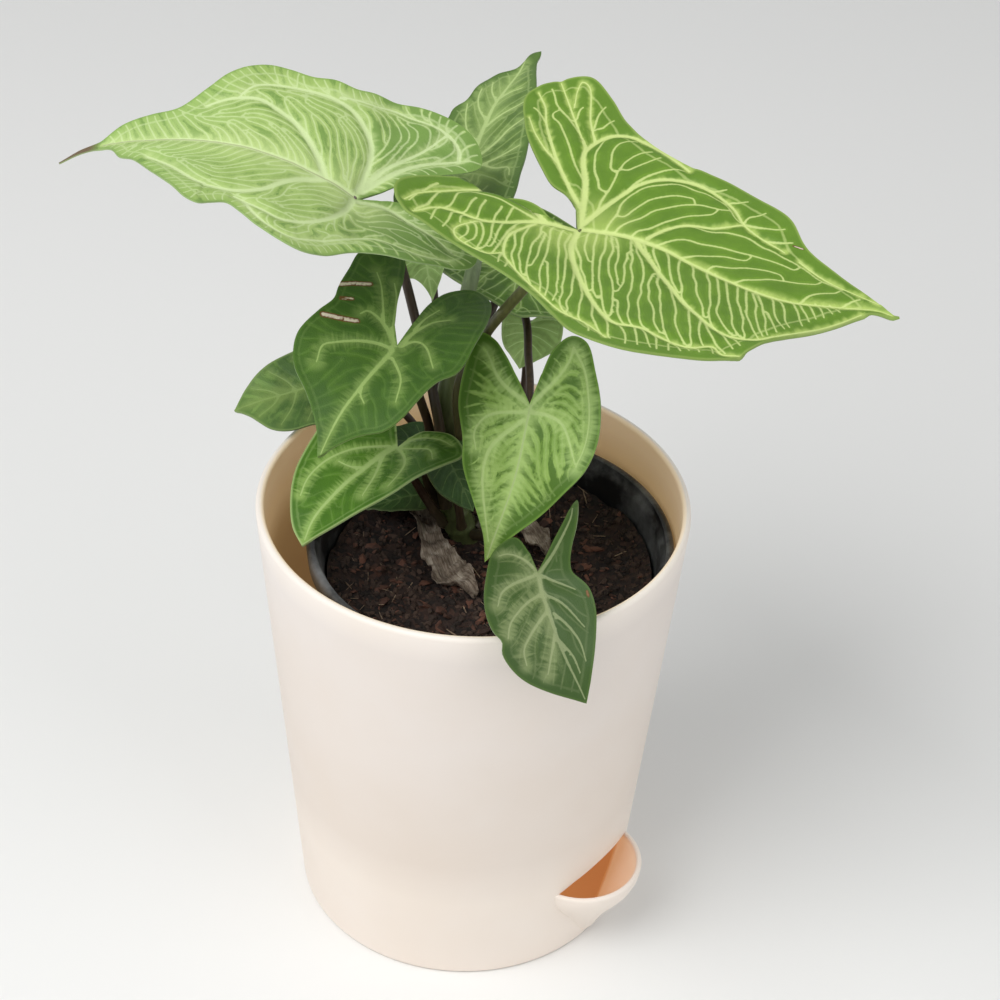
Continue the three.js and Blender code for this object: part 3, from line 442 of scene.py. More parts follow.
def strewn(name, bit, material, density, low, high, seed, lift):
    """Scatters copies of a small mesh over the soil with Geometry Nodes and makes them one mesh."""
    tree = bpy.data.node_groups.new(name, "GeometryNodeTree")
    face = tree.interface
    face.new_socket("Geometry", in_out="INPUT", socket_type="NodeSocketGeometry")
    sockets = {label: face.new_socket(label, in_out="INPUT", socket_type=kind) for label, kind in (
        ("Density", "NodeSocketFloat"), ("Smallest", "NodeSocketFloat"), ("Largest", "NodeSocketFloat"),
        ("Lift", "NodeSocketFloat"), ("Seed", "NodeSocketInt"), ("Bit", "NodeSocketObject"),
        ("Material", "NodeSocketMaterial"))}
    face.new_socket("Geometry", in_out="OUTPUT", socket_type="NodeSocketGeometry")
    start = add_node(tree, "NodeGroupInput").outputs
    normal = add_node(tree, "GeometryNodeInputNormal")
    upward = add_node(tree, "SeparateXYZ", {0: normal}).outputs["Z"]
    facing_up = add_node(tree, "FunctionNodeCompare", {0: upward, 1: 0.2}, operation="GREATER_THAN")
    spots = add_node(tree, "GeometryNodeDistributePointsOnFaces", {
        "Mesh": start["Geometry"], "Selection": facing_up, "Density": start["Density"],
        "Seed": start["Seed"]})
    turn = add_node(tree, "FunctionNodeRandomValue", {
        0: (-0.6, -0.6, -3.2), 1: (0.6, 0.6, 3.2), "Seed": start["Seed"]}, data_type="FLOAT_VECTOR")
    size = add_node(tree, "FunctionNodeRandomValue", {
        2: start["Smallest"], 3: start["Largest"], "Seed": start["Seed"]}, data_type="FLOAT")
    shape = add_node(tree, "GeometryNodeObjectInfo", {"Object": start["Bit"]})
    laid = add_node(tree, "GeometryNodeInstanceOnPoints", {
        "Points": spots, "Instance": shape.outputs["Geometry"], "Rotation": turn, "Scale": size})
    raise_by = add_node(tree, "CombineXYZ", {"Z": start["Lift"]})
    lifted = add_node(tree, "GeometryNodeTranslateInstances", {
        "Instances": laid, "Translation": raise_by, "Local Space": False})
    real = add_node(tree, "GeometryNodeRealizeInstances", {"Geometry": lifted})
    painted = add_node(tree, "GeometryNodeSetMaterial", {"Geometry": real, "Material": start["Material"]})
    add_node(tree, "NodeGroupOutput", {"Geometry": painted})
    carrier = bpy.data.objects.new(name, soil.data.copy())
    bpy.context.scene.collection.objects.link(carrier)
    modifier = carrier.modifiers.new(name, "NODES")
    modifier.node_group = tree
    for label, value in (("Density", density), ("Smallest", low), ("Largest", high), ("Lift", lift * MM),
                         ("Seed", seed), ("Bit", bit), ("Material", material)):
        modifier[sockets[label].identifier] = value
    graph = bpy.context.evaluated_depsgraph_get()
    mesh = bpy.data.meshes.new_from_object(carrier.evaluated_get(graph))
    carrier.modifiers.clear()
    carrier.data = mesh
    bpy.data.objects.remove(bit)
    keep_inside(mesh)
    return tie(carrier, "potting_soil")


def keep_inside(mesh, clearance=0.4):
    """Removes the bits that reach past the soil's edge or the pot's wall."""
    shape = bmesh.new()
    shape.from_mesh(mesh)
    limit = (SOIL_RIM_RADIUS - clearance) * MM
    centre = Vector((NURSERY_CENTRE[0] * MM, 0))
    todo = set(shape.verts)
    doomed = []
    while todo:
        stack = [todo.pop()]
        island = list(stack)
        while stack:
            for edge in stack.pop().link_edges:
                for other in edge.verts:
                    if other in todo:
                        todo.discard(other)
                        stack.append(other)
                        island.append(other)
        if any((v.co.xy - centre).length > limit for v in island):
            doomed += island
    bmesh.ops.delete(shape, geom=doomed, context="VERTS")
    shape.to_mesh(mesh)
    shape.free()


def lump(name, length, width, thickness, seed):
    """One uneven crumb or chip, sizes in millimetres."""
    shape = bmesh.new()
    bmesh.ops.create_icosphere(shape, subdivisions=1, radius=0.5)
    draw = random.Random(seed)
    for v in shape.verts:
        v.co *= draw.uniform(0.75, 1.2)
        v.co = Vector((v.co.x * length, v.co.y * width, v.co.z * thickness)) * MM
    mesh = bpy.data.meshes.new(name)
    shape.to_mesh(mesh)
    shape.free()
    bit = bpy.data.objects.new(name, mesh)
    bpy.context.scene.collection.objects.link(bit)
    bit.hide_render = True
    return bit


crumb = chip_material("Dark peat crumbs", "#17110E", "#4E3C32", 0.9)
bark = chip_material("Reddish composted bark", "#291912", "#6A4434", 0.75)
straw = chip_material("Pale coir fibre", "#5B4636", "#A8937A", 0.8)
# Each kind: its bit, its material, bits a square metre, smallest and largest scale, seed and lift.
strewn("soil_crumbs", lump("crumb", 1.5, 1.2, 1.1, 3), crumb, 210000, 0.4, 1.9, 5, 0.1)
strewn("bark_chips", lump("chip", 3.2, 1.9, 0.9, 8), bark, 20000, 0.4, 2.0, 11, 0.3)
strewn("coir_fibres", lump("fibre", 5.5, 0.32, 0.3, 12), straw, 17000, 0.3, 1.6, 17, 0.4)
strewn("bark_slivers", lump("sliver", 2.2, 0.9, 0.6, 21), bark, 40000, 0.4, 1.4, 23, 0.25)

# ---- stem and leaf stalks --------------------------------------------------------------------
# The living stem is short, green-brown and ringed where old leaves fell. Each leaf stands on its
# own round stalk, which sheathes the stem at its foot and grows paler towards the blade.


def smooth_line(points, spacing):
    """Evenly spaced points along a centripetal Catmull-Rom curve through the given ones."""
    given = [np.array(p, float) for p in points]
    ends = [2 * given[0] - given[1], *given, 2 * given[-1] - given[-2]]
    dense = []
    for p0, p1, p2, p3 in zip(ends, ends[1:], ends[2:], ends[3:]):
        t0, t1, t2 = (max(np.linalg.norm(b - a), 1e-6) ** 0.5 for a, b in ((p0, p1), (p1, p2), (p2, p3)))
        m1 = ((p1 - p0) / t0 - (p2 - p0) / (t0 + t1) + (p2 - p1) / t1) * t1
        m2 = ((p2 - p1) / t1 - (p3 - p1) / (t1 + t2) + (p3 - p2) / t2) * t1
        for t in np.linspace(0, 1, 24, endpoint=False):
            dense.append((2 * t ** 3 - 3 * t ** 2 + 1) * p1 + (t ** 3 - 2 * t ** 2 + t) * m1
                         + (3 * t ** 2 - 2 * t ** 3) * p2 + (t ** 3 - t ** 2) * m2)
    dense = np.array(dense + [given[-1]])
    run = np.concatenate([[0], np.cumsum(np.linalg.norm(np.diff(dense, axis=0), axis=1))])
    count = max(2, round(run[-1] / spacing))
    at = np.linspace(0, run[-1], count + 1)
    return np.stack([np.interp(at, run, dense[:, k]) for k in range(dense.shape[1])], axis=1)


def tube(name, route, radius_at, material, slot, *nodes, sides=14, spacing=1.2):
    """A round stem along a route, radius_at(share of the length) giving its radius."""
    line = smooth_line(route, spacing)
    ahead = np.gradient(line, axis=0)
    ahead /= np.linalg.norm(ahead, axis=1)[:, None]
    across = np.cross(ahead[0], (0.3, 1, 0.2))
    points, faces, share_values = [], [], []
    for i, (centre, along) in enumerate(zip(line, ahead)):
        across = across - along * across.dot(along)
        across /= np.linalg.norm(across)
        other = np.cross(along, across)
        share = i / (len(line) - 1)
        for k in range(sides):
            turn = 2 * math.pi * k / sides
            radius = radius_at(share, turn)
            points.append(centre + radius * (math.cos(turn) * across + math.sin(turn) * other))
            share_values.append(share)
    rows = len(line)
    for i in range(rows - 1):
        for k in range(sides):
            j = (k + 1) % sides
            faces.append((i * sides + k, i * sides + j, (i + 1) * sides + j, (i + 1) * sides + k))
    faces.append(tuple(range(sides))[::-1])
    faces.append(tuple((rows - 1) * sides + k for k in range(sides)))
    piece = make_piece(name, points, faces, material, slot, *nodes, angle=60)
    along_it = piece.data.attributes.new("along", "FLOAT", "POINT")
    along_it.data.foreach_set("value", share_values)
    return piece


def stalk_material(name, foot, middle, top):
    """Skin of a leaf stalk: its colour changes from foot to blade, with fine lengthwise streaks."""
    material, tree, shader = new_material(name, Roughness=0.42)
    place = add_node(tree, "TexCoord").outputs["Object"]
    along = add_node(tree, "Attribute", attribute_name="along").outputs["Fac"]
    colours = add_node(tree, "ValToRGB", {0: along}, stops=[(0, foot), (0.45, middle), (1, top)])
    longwise = add_node(tree, "VectorMath", {0: place, 1: (1, 1, 0.12)}, operation="MULTIPLY")
    streaks = add_node(tree, "TexNoise", {"Vector": longwise, "Scale": 700, "Detail": 3})
    tone = add_node(tree, "MapRange", {0: streaks, 1: 0.3, 2: 0.7, 3: 0.72, 4: 1.25})
    colour = add_node(tree, "VectorMath", {0: colours, 1: tone}, operation="MULTIPLY")
    tree.links.new(colour.outputs[0], shader.inputs["Base Color"])
    return material


STEM_ROUTE = [(-1, 21, 88), (-2, 21, 107), (-4.6, 20.6, 116), (-8, 20.2, 129)]
STEM_RADII = [4.4, 4.8, 4.4, 3.3]
LEAF_SCARS = (0.6, 0.73, 0.85, 0.94)


def stem_radius(share, turn):
    """The stem's radius, with a raised ring at each leaf scar."""
    plain = np.interp(share, [0, 1 / 3, 2 / 3, 1], STEM_RADII) - 0.15
    rings = sum(0.35 * math.exp(-((share - scar) / 0.018) ** 2) for scar in LEAF_SCARS)
    return plain + rings + 0.12 * math.sin(3 * turn)


def stem_at(height):
    """The stem's middle and radius at a height."""
    heights = [spot[2] for spot in STEM_ROUTE]
    x, y = (np.interp(height, heights, [spot[k] for spot in STEM_ROUTE]) for k in (0, 1))
    return x, y, np.interp(height, heights, STEM_RADII)


stem_skin = stalk_material("Green-brown stem skin", "#3A3220", "#4A5030", "#55683A")
tube("stem", STEM_ROUTE, stem_radius, stem_skin, "main_stem", "main_stem", sides=28, spacing=0.6)

brown_skin = stalk_material("Purple-brown stalk skin", "#3B3524", "#3A2A1E", "#4A3A2C")
green_brown_skin = stalk_material("Olive stalk skin", "#4C4A2C", "#4F4A2A", "#62693C")
pale_skin = stalk_material("Pale green stalk skin", "#4E5230", "#6F7B50", "#8CA27E")

# ---- leaf blades -----------------------------------------------------------------------------
# Each blade is a thin living sheet, folded along its midrib and drooping to its tip. Its upper
# face is cut by sunken pale veins: a midrib, a rib into each lobe, side veins that join inside
# the margin, and a fine net between them. The veins stand proud below.

BLADE_THICKNESS = 0.55
CREASE = 0.06


def bend(leaf, x, y, lift):
    """Points of the flat blade carried onto the folded, drooping one."""
    crease = CREASE * leaf["length"]
    away = np.hypot(y, crease) - crease
    behind = np.maximum(-x, 0) / (0.5 * leaf["length"])
    up = away * math.sin(math.radians(leaf["fold"])) + lift * behind ** 1.5
    turn = math.radians(leaf["droop"]) * x / leaf["length"]
    radius = leaf["length"] / math.radians(leaf["droop"])
    return np.stack([(radius + up) * np.sin(turn), y * math.cos(math.radians(leaf["fold"])),
                     (radius + up) * np.cos(turn) - radius], axis=1)


def foot_on(points, line):
    """For each point: how far the line is, how far along it the nearest spot is, the line's
    direction there, and the way from that spot to the point."""
    start, step = line[:-1], np.diff(line, axis=0)
    length = np.maximum(np.linalg.norm(step, axis=1), 1e-9)
    share = np.clip(((points[:, None] - start) * step).sum(axis=2) / length ** 2, 0, 1)
    away = points[:, None] - start - share[..., None] * step
    near = np.linalg.norm(away, axis=2).argmin(axis=1)
    rows = np.arange(len(points))
    run = np.concatenate([[0], np.cumsum(length)])[near] + share[rows, near] * length[near]
    away = away[rows, near]
    return np.linalg.norm(away, axis=1), run, step[near] / length[near][:, None], away


def to_lines(points, lines, widths=None):
    """For each point: how far the nearest line is, its number, the distance in half widths of the
    line that covers it most, and how far along the nearest line it is."""
    best = np.full(len(points), 1e9)
    ratio = np.full(len(points), 1e9)
    along = np.zeros(len(points))
    which = np.zeros(len(points), int)
    for number, line in enumerate(lines):
        distance, run, _, _ = foot_on(points, line)
        if widths:
            first, last = widths[number]
            ratio = np.minimum(ratio, distance / (first + (last - first) * run / run.max()))
        closer = distance < best
        best[closer] = distance[closer]
        which[closer] = number
        along[closer] = run[closer]
    return best, which, ratio, along


def inside(points, loop):
    """Which of the points lie inside the closed loop."""
    x, y = points[:, 0][:, None], points[:, 1][:, None]
    ax, ay = loop[:, 0], loop[:, 1]
    bx, by = np.roll(ax, -1), np.roll(ay, -1)
    crosses = ((ay > y) != (by > y)) & (x < (bx - ax) * (y - ay) / (by - ay + 1e-12) + ax)
    return crosses.sum(axis=1) % 2 == 1


def flat_sheet(loop, lines, spacing):
    """Triangles that fill the outline, with the given lines along their edges."""
    corners = [tuple(p) for p in loop]
    edges = [(i, (i + 1) % len(corners)) for i in range(len(corners))]
    for line in lines:
        first = len(corners)
        corners += [tuple(p) for p in line]
        edges += [(first + i, first + i + 1) for i in range(len(line) - 1)]
    fixed = np.array(corners)
    low, high = loop.min(axis=0), loop.max(axis=0)
    row_step = spacing * math.sqrt(0.75)
    rows = np.arange(low[1], high[1], row_step)
    grid = np.array([(x + (0.5 * spacing if k % 2 else 0), y) for k, y in enumerate(rows)
                     for x in np.arange(low[0], high[0], spacing)])
    grid = grid[inside(grid, loop)]
    clear = np.ones(len(grid), bool)
    for start in range(0, len(fixed), 200):
        some = fixed[start:start + 200]
        clear &= np.linalg.norm(grid[:, None] - some, axis=2).min(axis=1) > 0.55 * spacing
    corners += [tuple(p) for p in grid[clear]]
    vertices, _, triangles, *_ = delaunay_2d_cdt([Vector(p) for p in corners], edges, [], 1, 1e-4)
    return np.array([tuple(v) for v in vertices]), [tuple(t) for t in triangles]


def ruled_veins(leaf, left, right):
    """Midrib, lobe ribs and side veins by rule, for a blade whose veins aren't listed."""
    tip = np.array(leaf["tip"][-1], float)
    size = leaf["length"] / 60
    veins = [(0.45 * size + 0.12, 0.12, [(0.4, 0), tuple(0.5 * tip), tuple(0.97 * tip)])]
    for side in (left, right):
        lobe = side[side[:, 0].argmin()]
        end = 0.86 * lobe
        middle = 0.5 * end + (0.04 * leaf["length"], 0)
        veins.append((0.4 * size + 0.1, 0.1, [(0, 0), tuple(middle), tuple(end)]))
        for start, reach in ((0.02, 0.36), (0.1, 0.5), (0.24, 0.64), (0.4, 0.77), (0.56, 0.88)):
            root = start * tip
            target = side[int(reach * (len(side) - 1))]
            end = root + 0.86 * (target - root)
            middle = 0.5 * (root + end) + (-0.03 * leaf["length"], 0)
            veins.append((0.25 * size + 0.1, 0.1, [tuple(root), tuple(middle), tuple(end)]))
    return veins


LONGEST_VEINLET = 90      # steps
SHORTEST_VEINLET = 6
STRAIGHT_ENOUGH = 0.8     # cosine of the sharpest turn in one step
JOINING = 0.56            # how near another veinlet it joins, as a share of the spacing
AT_MAIN_VEIN = 0.45       # millimetres


def veinlets(mains, loop, spacing, angles, sweep, hem, seed):
    """Evenly spaced fine veins, spacing given for the left and the right half. They leave the
    midrib and the other main veins at the given angles, run on between them, bend out to the
    margin, join where they come close and end at the hem. Each half may have a sweep: the angle
    to the midrib that its fine veins turn to, and how strongly."""
    cell, stride = 0.6, 0.7  # of the grid that holds the directions, and of one step along a vein
    low = loop.min(axis=0)
    across, up = (np.ceil((loop.max(axis=0) - low) / cell) + 1).astype(int)
    grid = low + cell * np.array([(i, k) for i in range(across) for k in range(up)])
    flow = np.zeros(len(grid), complex)
    clear = np.full(len(grid), 1e9)
    for number, line in enumerate(mains):
        far, _, ahead, away = foot_on(grid, line)
        side = np.sign(ahead[:, 0] * away[:, 1] - ahead[:, 1] * away[:, 0])
        if number == 0:
            half = side
        turn = np.exp(1j * side * math.radians(angles[min(number, 1)]))
        flow += (ahead[:, 0] + 1j * ahead[:, 1]) * turn / (far + 1) ** 2
        clear = np.minimum(clear, far)
    edge, _, _, away = foot_on(grid, np.vstack([loop, loop[:1]]))
    flow -= 1.5 * (away[:, 0] + 1j * away[:, 1]) / np.maximum(edge, 0.1) / (edge + 0.6) ** 2
    for side, (turn, pull) in zip((1, -1), sweep):
        flow += np.where(side * half > 0, pull * np.exp(1j * side * math.radians(turn)), 0)
    wander = [noise.noise(Vector((0.22 * x, 0.22 * y, seed))) for x, y in grid]
    flow *= np.exp(0.45j * np.array(wander)) / np.abs(flow)
    room = inside(grid, loop) & (edge > hem)
    apart = np.where(half > 0, spacing[0], spacing[1])
    draw = random.Random(seed)
    starts = list(np.flatnonzero(room & (clear > 0.5 * apart)))
    draw.shuffle(starts)
    taken, found = np.full(1, 1e6 + 0j), []
    for start in starts:
        first = complex(*grid[start])
        if np.abs(taken - first).min() < apart[start]:
            continue
        path = [first]
        for sense in (-1, 1):
            spot, legs = first, []
            while len(legs) < LONGEST_VEINLET:
                i, k = round((spot.real - low[0]) / cell), round((spot.imag - low[1]) / cell)
                node = i * up + k
                ahead = sense * flow[node]
                if not room[node] or legs and (ahead * heading.conjugate()).real < STRAIGHT_ENOUGH:
                    break
                heading = ahead
                spot += stride * ahead
                legs.append(spot)
                gaps = np.abs(taken - spot)
                if gaps.min() < JOINING * apart[start]:
                    legs.append(taken[gaps.argmin()])
                    break
                if clear[node] < AT_MAIN_VEIN:
                    break
            path = path + legs if sense > 0 else legs[::-1] + path
        if len(path) < SHORTEST_VEINLET:
            continue
        path = np.array(path)
        for _ in range(2):
            path[1:-1] = 0.25 * path[:-2] + 0.5 * path[1:-1] + 0.25 * path[2:]
        taken = np.concatenate([taken, path])
        found.append(np.stack([path.real, path.imag], axis=1))
    return found


# Ways of colouring a blade. Distances are millimetres on the blade, amounts 0 to 1.
PLAIN_LOOK = {
    "roughness": 0.45,        # soft sheen of the waxy skin
    "vein_amount": 0.9,       # how pale the main veins are
    "veinlet_amount": 0.5,    # how pale the fine veins are
    "halo": 2.4,              # reach of the pale feathering beside the main veins
    "halo_amount": 0.5,
    "feather": 0.6,           # feathers a millimetre
    "flush_from": 0.3,        # pale flush along the midrib
    "flush_to": 3,
    "flush_ragged": 5,
    "flush_margin": 3,
    "flush_amount": 0.7,
    "seat_flush": 9,          # and around the stalk's seat
    "cell_from": 0.45,        # where the darker cells between the veins start
    "cell_amount": 0.4,
    "margin_cells": 0.2,      # more or fewer of them at the margin,
    "middle_cells": 0,        # in the middle,
    "lobe_cells": 0,          # in the lobes behind the seat,
    # The next two paint shade on the left half of a blade, where it is turned from the light:
    "left_half_shade_cells": 0,          # and in the left half,
    "left_half_shade_plain": 0,          # which may have less pale feathering
    "cell_reach": 8,
    "dash": 0.3,              # streaks a millimetre
    "ring": 2.4,              # the vein inside the margin
    "ring_amount": 0.3,
    "rim": 3,                 # the greener band along the margin
    "rim_amount": 0,
    "margin_width": 0.8,      # the thin pale edge itself
    "margin_amount": 0.4,
    "groove_amount": 0,       # a dull line down the midrib
    "tip_from": 1000,         # where the tip's colour starts
    "tip_to": 1001,
    "tip_plain": 0,           # and how far the pale middle fades there
    "under": "#7F9468",       # the duller, paler lower face
    "dry": "#6E5D43",         # dead tissue at the tip
    "scar": "#D9CDB8",        # a healed slit
    "scar_rim": "#6B4A2A",    # and the brown line round it
}


def blade_material(look):
    """Skin of one blade: green with pale veins and a pale flush about the midrib and the stalk's
    seat, darker cells between the fine veins, a duller, paler underside, and where a look asks for it
    painted shade on the left half."""
    look = {**PLAIN_LOOK, **look}
    look = {"tip": look["green"], "rim_green": look["dark"], "cell": look["dark"], "glow": look["flush"],
            "margin": look["vein"], "groove": look["vein"], **look}
    skin, tree, shader = new_material(look["name"], Roughness=look["roughness"], Specular_IOR_Level=0.2)
    at = {label: add_node(tree, "Attribute", attribute_name=label).outputs["Fac"]
          for label in ("vein", "veinlet", "vein_far", "run", "nearest", "main_far", "main_run",
                        "main_near", "edge", "middle", "seat", "scar", "dry", "under")}
    flat = add_node(tree, "Attribute", attribute_name="flat").outputs["Vector"]
    place = add_node(tree, "SeparateXYZ", {0: flat})
    at["along"] = place.outputs["X"]
    smooth = {"interpolation_type": "SMOOTHSTEP"}
    wobble = add_node(tree, "TexNoise", {"Vector": flat, "Scale": 1.3, "Detail": 3})
    patches = add_node(tree, "TexNoise", {"Vector": flat, "Scale": 0.14, "Detail": 4, "Roughness": 0.6})

    # Noise combed along the veins: feathers beside the main ones, streaks between the fine ones.
    combed = []
    for run, stretch, far, narrow, number in (("main_run", look["feather"], "main_far", 0.1, "main_near"),
                                              ("run", look["dash"], "vein_far", 0.9, "nearest")):
        beside = add_node(tree, "CombineXYZ", {
            "X": add_node(tree, "Math", {0: at[run], 1: stretch}, operation="MULTIPLY"),
            "Y": add_node(tree, "Math", {0: at[far], 1: narrow}, operation="MULTIPLY"),
            "Z": at[number]})
        combed.append(add_node(tree, "TexNoise", {"Vector": beside, "Scale": 1, "Detail": 2}))
    feather, streaks = combed

    # The vein that joins the side veins a few millimetres inside the margin.
    ring = add_node(tree, "Math", {0: patches, 1: 1.6, 2: at["edge"]}, operation="MULTIPLY_ADD")
    ring = add_node(tree, "Math", {0: ring, 1: look["ring"] + 0.8}, operation="SUBTRACT")
    at["ring"] = add_node(tree, "Math", {0: ring}, operation="ABSOLUTE")

    # Where each layer shows: the cloud that roughens a distance and by how much, the distance, and
    # the layer's amount at a near and at a far value of it.
    halo, ragged = look["halo"], look["flush_ragged"]
    mask = {}
    for label, cloud, rough, far, (start, first), (end, last) in (
            ("vein", wobble, 0.8, "vein", (1.1, look["vein_amount"]), (2.1, 0)),
            ("veinlet", wobble, 1.2, "veinlet", (0.9, look["veinlet_amount"]), (2.3, 0)),
            ("halo", feather, 1.6 * halo, "main_far", (0.8 * halo + 0.1, 1), (1.8 * halo, 0)),
            ("ring", patches, 0, "ring", (0.1, look["ring_amount"]), (0.5, 0)),
            ("more", patches, 8, "edge", (4, look["margin_cells"]),
             (4 + look["cell_reach"], look["middle_cells"])),
            ("lobes", patches, 12, "along", (14, 0), (-8, look["lobe_cells"])),
            ("tip", patches, 12, "along", (look["tip_from"] + 6, 0), (look["tip_to"] + 6, 1)),
            ("flush", patches, ragged, "middle", (0.5 * ragged + look["flush_from"], 1),
             (0.5 * ragged + look["flush_to"], 0)),
            ("seat", patches, ragged, "seat", (0.5 * ragged + 0.25 * look["seat_flush"], 1),
             (0.5 * ragged + look["seat_flush"], 0)),
            ("stop", patches, 3, "edge", (2, 0), (1.5 + look["flush_margin"], look["flush_amount"])),
            ("rim", patches, look["rim"], "edge", (0.7 * look["rim"], look["rim_amount"]),
             (1.5 * look["rim"], 0)),
            ("margin", patches, 0, "edge", (0.15, look["margin_amount"]), (look["margin_width"], 0)),
            ("groove", patches, 0, "middle", (0.12, look["groove_amount"]), (0.4, 0)),
            ("scar_rim", wobble, 0.8, "scar", (1.4, 1), (1.9, 0)),
            ("scar", wobble, 0.8, "scar", (0.9, 1), (1.3, 0))):
        away = add_node(tree, "Math", {0: cloud, 1: rough, 2: at[far]}, operation="MULTIPLY_ADD")
        mask[label] = add_node(tree, "MapRange", {0: away, 1: start, 2: end, 3: first, 4: last}, **smooth)
    fine = add_node(tree, "Math", {0: mask["veinlet"], 1: mask["ring"]}, operation="MAXIMUM")
    green = add_node(tree, "MapRange", {0: patches, 1: 0.36, 2: 0.64}, **smooth)

    # Painted shade on the left half: less pale feathering and flush, and more dark cells, there.
    left = add_node(tree, "MapRange", {0: place.outputs["Y"], 1: -0.5, 2: 1})
    shade_plain_left, plain_tip = (
        add_node(tree, "Math", {0: share, 1: -amount, 2: 1}, operation="MULTIPLY_ADD")
        for share, amount in ((left, look["left_half_shade_plain"]), (mask["tip"], look["tip_plain"])))
    halo = add_node(tree, "Math", {0: mask["halo"], 1: 1.4}, operation="POWER")
    halo = add_node(tree, "Math", {0: halo, 1: look["halo_amount"]}, operation="MULTIPLY")
    halo = add_node(tree, "Math", {0: halo, 1: shade_plain_left}, operation="MULTIPLY")
    flush = add_node(tree, "Math", {0: mask["flush"], 1: mask["seat"]}, operation="MAXIMUM")
    for share in (mask["stop"], shade_plain_left, plain_tip):
        flush = add_node(tree, "Math", {0: flush, 1: share}, operation="MULTIPLY")

    # The darker cells, which fade in the pale flush; painted shade may add more of them in the left half.
    cells = add_node(tree, "Math", {0: streaks, 1: 2.4, 2: at["vein_far"]}, operation="MULTIPLY_ADD")
    for extra in (mask["more"], mask["lobes"]):
        cells = add_node(tree, "Math", {0: cells, 1: extra}, operation="ADD")
    cells = add_node(tree, "Math", {0: left, 1: look["left_half_shade_cells"], 2: cells}, operation="MULTIPLY_ADD")
    start = 1.2 + look["cell_from"]
    cells = add_node(tree, "MapRange", {0: cells, 1: start, 2: start + 0.6}, **smooth)
    dimmed = add_node(tree, "Math", {0: flush, 1: -0.8, 2: 1}, operation="MULTIPLY_ADD")
    cells = add_node(tree, "Math", {0: cells, 1: dimmed}, operation="MULTIPLY")
    dark = add_node(tree, "Math", {0: cells, 1: look["cell_amount"]}, operation="MULTIPLY")

    colour = linear(look["dark"])
    for share, layer in (
            (green, "green"), (mask["tip"], "tip"), (mask["rim"], "rim_green"), (flush, "flush"),
            (dark, "cell"), (halo, "glow"), (fine, "vein"), (mask["vein"], "vein"),
            (mask["margin"], "margin"), (mask["groove"], "groove"), (mask["scar_rim"], "scar_rim"),
            (mask["scar"], "scar"), (at["dry"], "dry"), (at["under"], "under")):
        colour = add_node(tree, "Mix", {0: share, 6: colour, 7: linear(look[layer])}, data_type="RGBA")
    tree.links.new(colour.outputs[2], shader.inputs["Base Color"])

    # Fine relief: pitted skin, cells that stand up a little and sunken veins.
    pits = add_node(tree, "TexNoise", {"Vector": flat, "Scale": 3, "Detail": 3})
    relief = add_node(tree, "Math", {0: cells, 1: 0.5, 2: pits}, operation="MULTIPLY_ADD")
    sunken = add_node(tree, "Math", {0: fine, 1: mask["vein"]}, operation="MAXIMUM")
    relief = add_node(tree, "Math", {0: sunken, 1: -0.8, 2: relief}, operation="MULTIPLY_ADD")
    bump = add_node(tree, "Bump", {"Strength": 0.3, "Distance": 0.0004, "Height": relief})
    tree.links.new(bump.outputs[0], shader.inputs["Normal"])
    return skin


def grow_stalk(name, skin, slot, leaf, turn):
    """A leaf's stalk, from the stem where it has a foot there, up to the seat below the blade.
    turn is the blade's rotation."""
    foot_azimuth, foot_height = leaf["foot"]
    foot_radius, top_radius = leaf["radii"]
    route = [np.array(p, float) for p in leaf["route"]]
    if foot_azimuth is not None:
        x, y, radius = stem_at(foot_height)
        out = np.array([math.cos(math.radians(foot_azimuth)), math.sin(math.radians(foot_azimuth)), 0])
        route.insert(0, np.array([x, y, foot_height]) + (radius + 0.5 * foot_radius) * out)
    forward, _, up = turn.T
    seat = np.array(leaf["at"]) + 0.8 * top_radius * forward
    arriving = (seat - route[-1]) / np.linalg.norm(seat - route[-1])
    slant = math.sqrt(max(0, 1 - arriving.dot(up) ** 2))
    route.append(seat - (0.5 * BLADE_THICKNESS + 0.65 * top_radius * slant) * up)

    def radius_at(share, around):
        sheath = 0.35 * math.exp(-share / 0.06)
        neck = 0.35 * max(0, share - 0.96) / 0.04
        along = foot_radius + (top_radius - foot_radius) * share
        return along * (1 + sheath - neck + 0.05 * math.sin(2 * around))

    tube("stalk_" + name + "_skin", route, radius_at, skin, slot, "stalk_" + name)


# What a blade's shape takes where nothing else is given, in millimetres and degrees.
PLAIN_SHAPE = {
    "lift": (0, 0),           # how far the left and the right lobe rise behind the seat
    "mesh": 0.9,              # distance of the sheet's points
    "veins": None,            # main veins: half width at the root, at the end, and the way there
    "veinlets": (2.6, 2.6),   # spacing of the fine veins, left and right
    "branching": (55, 18),    # angles at which they leave the midrib and the other main veins
    "sweep": (),              # the angle they turn to and how strongly, left and right
    "hem": 1.6,               # where they stop inside the margin
    "hairs": (0.24, 0.2),     # their half widths
    "relief": 0.45,           # how deeply the main veins are sunk
    "scars": [],              # healed slits: half width and points
    "dry_from": 1000,         # where the dead tip starts
}


WAVE_REACH = 0.09         # of the margin's waves, as a share of the blade's length
PUFF = 0.5                # height of the soft bulges
PUFF_MARGIN = 6           # where they fade out to the margin
NUMBER_STEP = 5.7         # sets the noise beside one vein apart from that beside the next


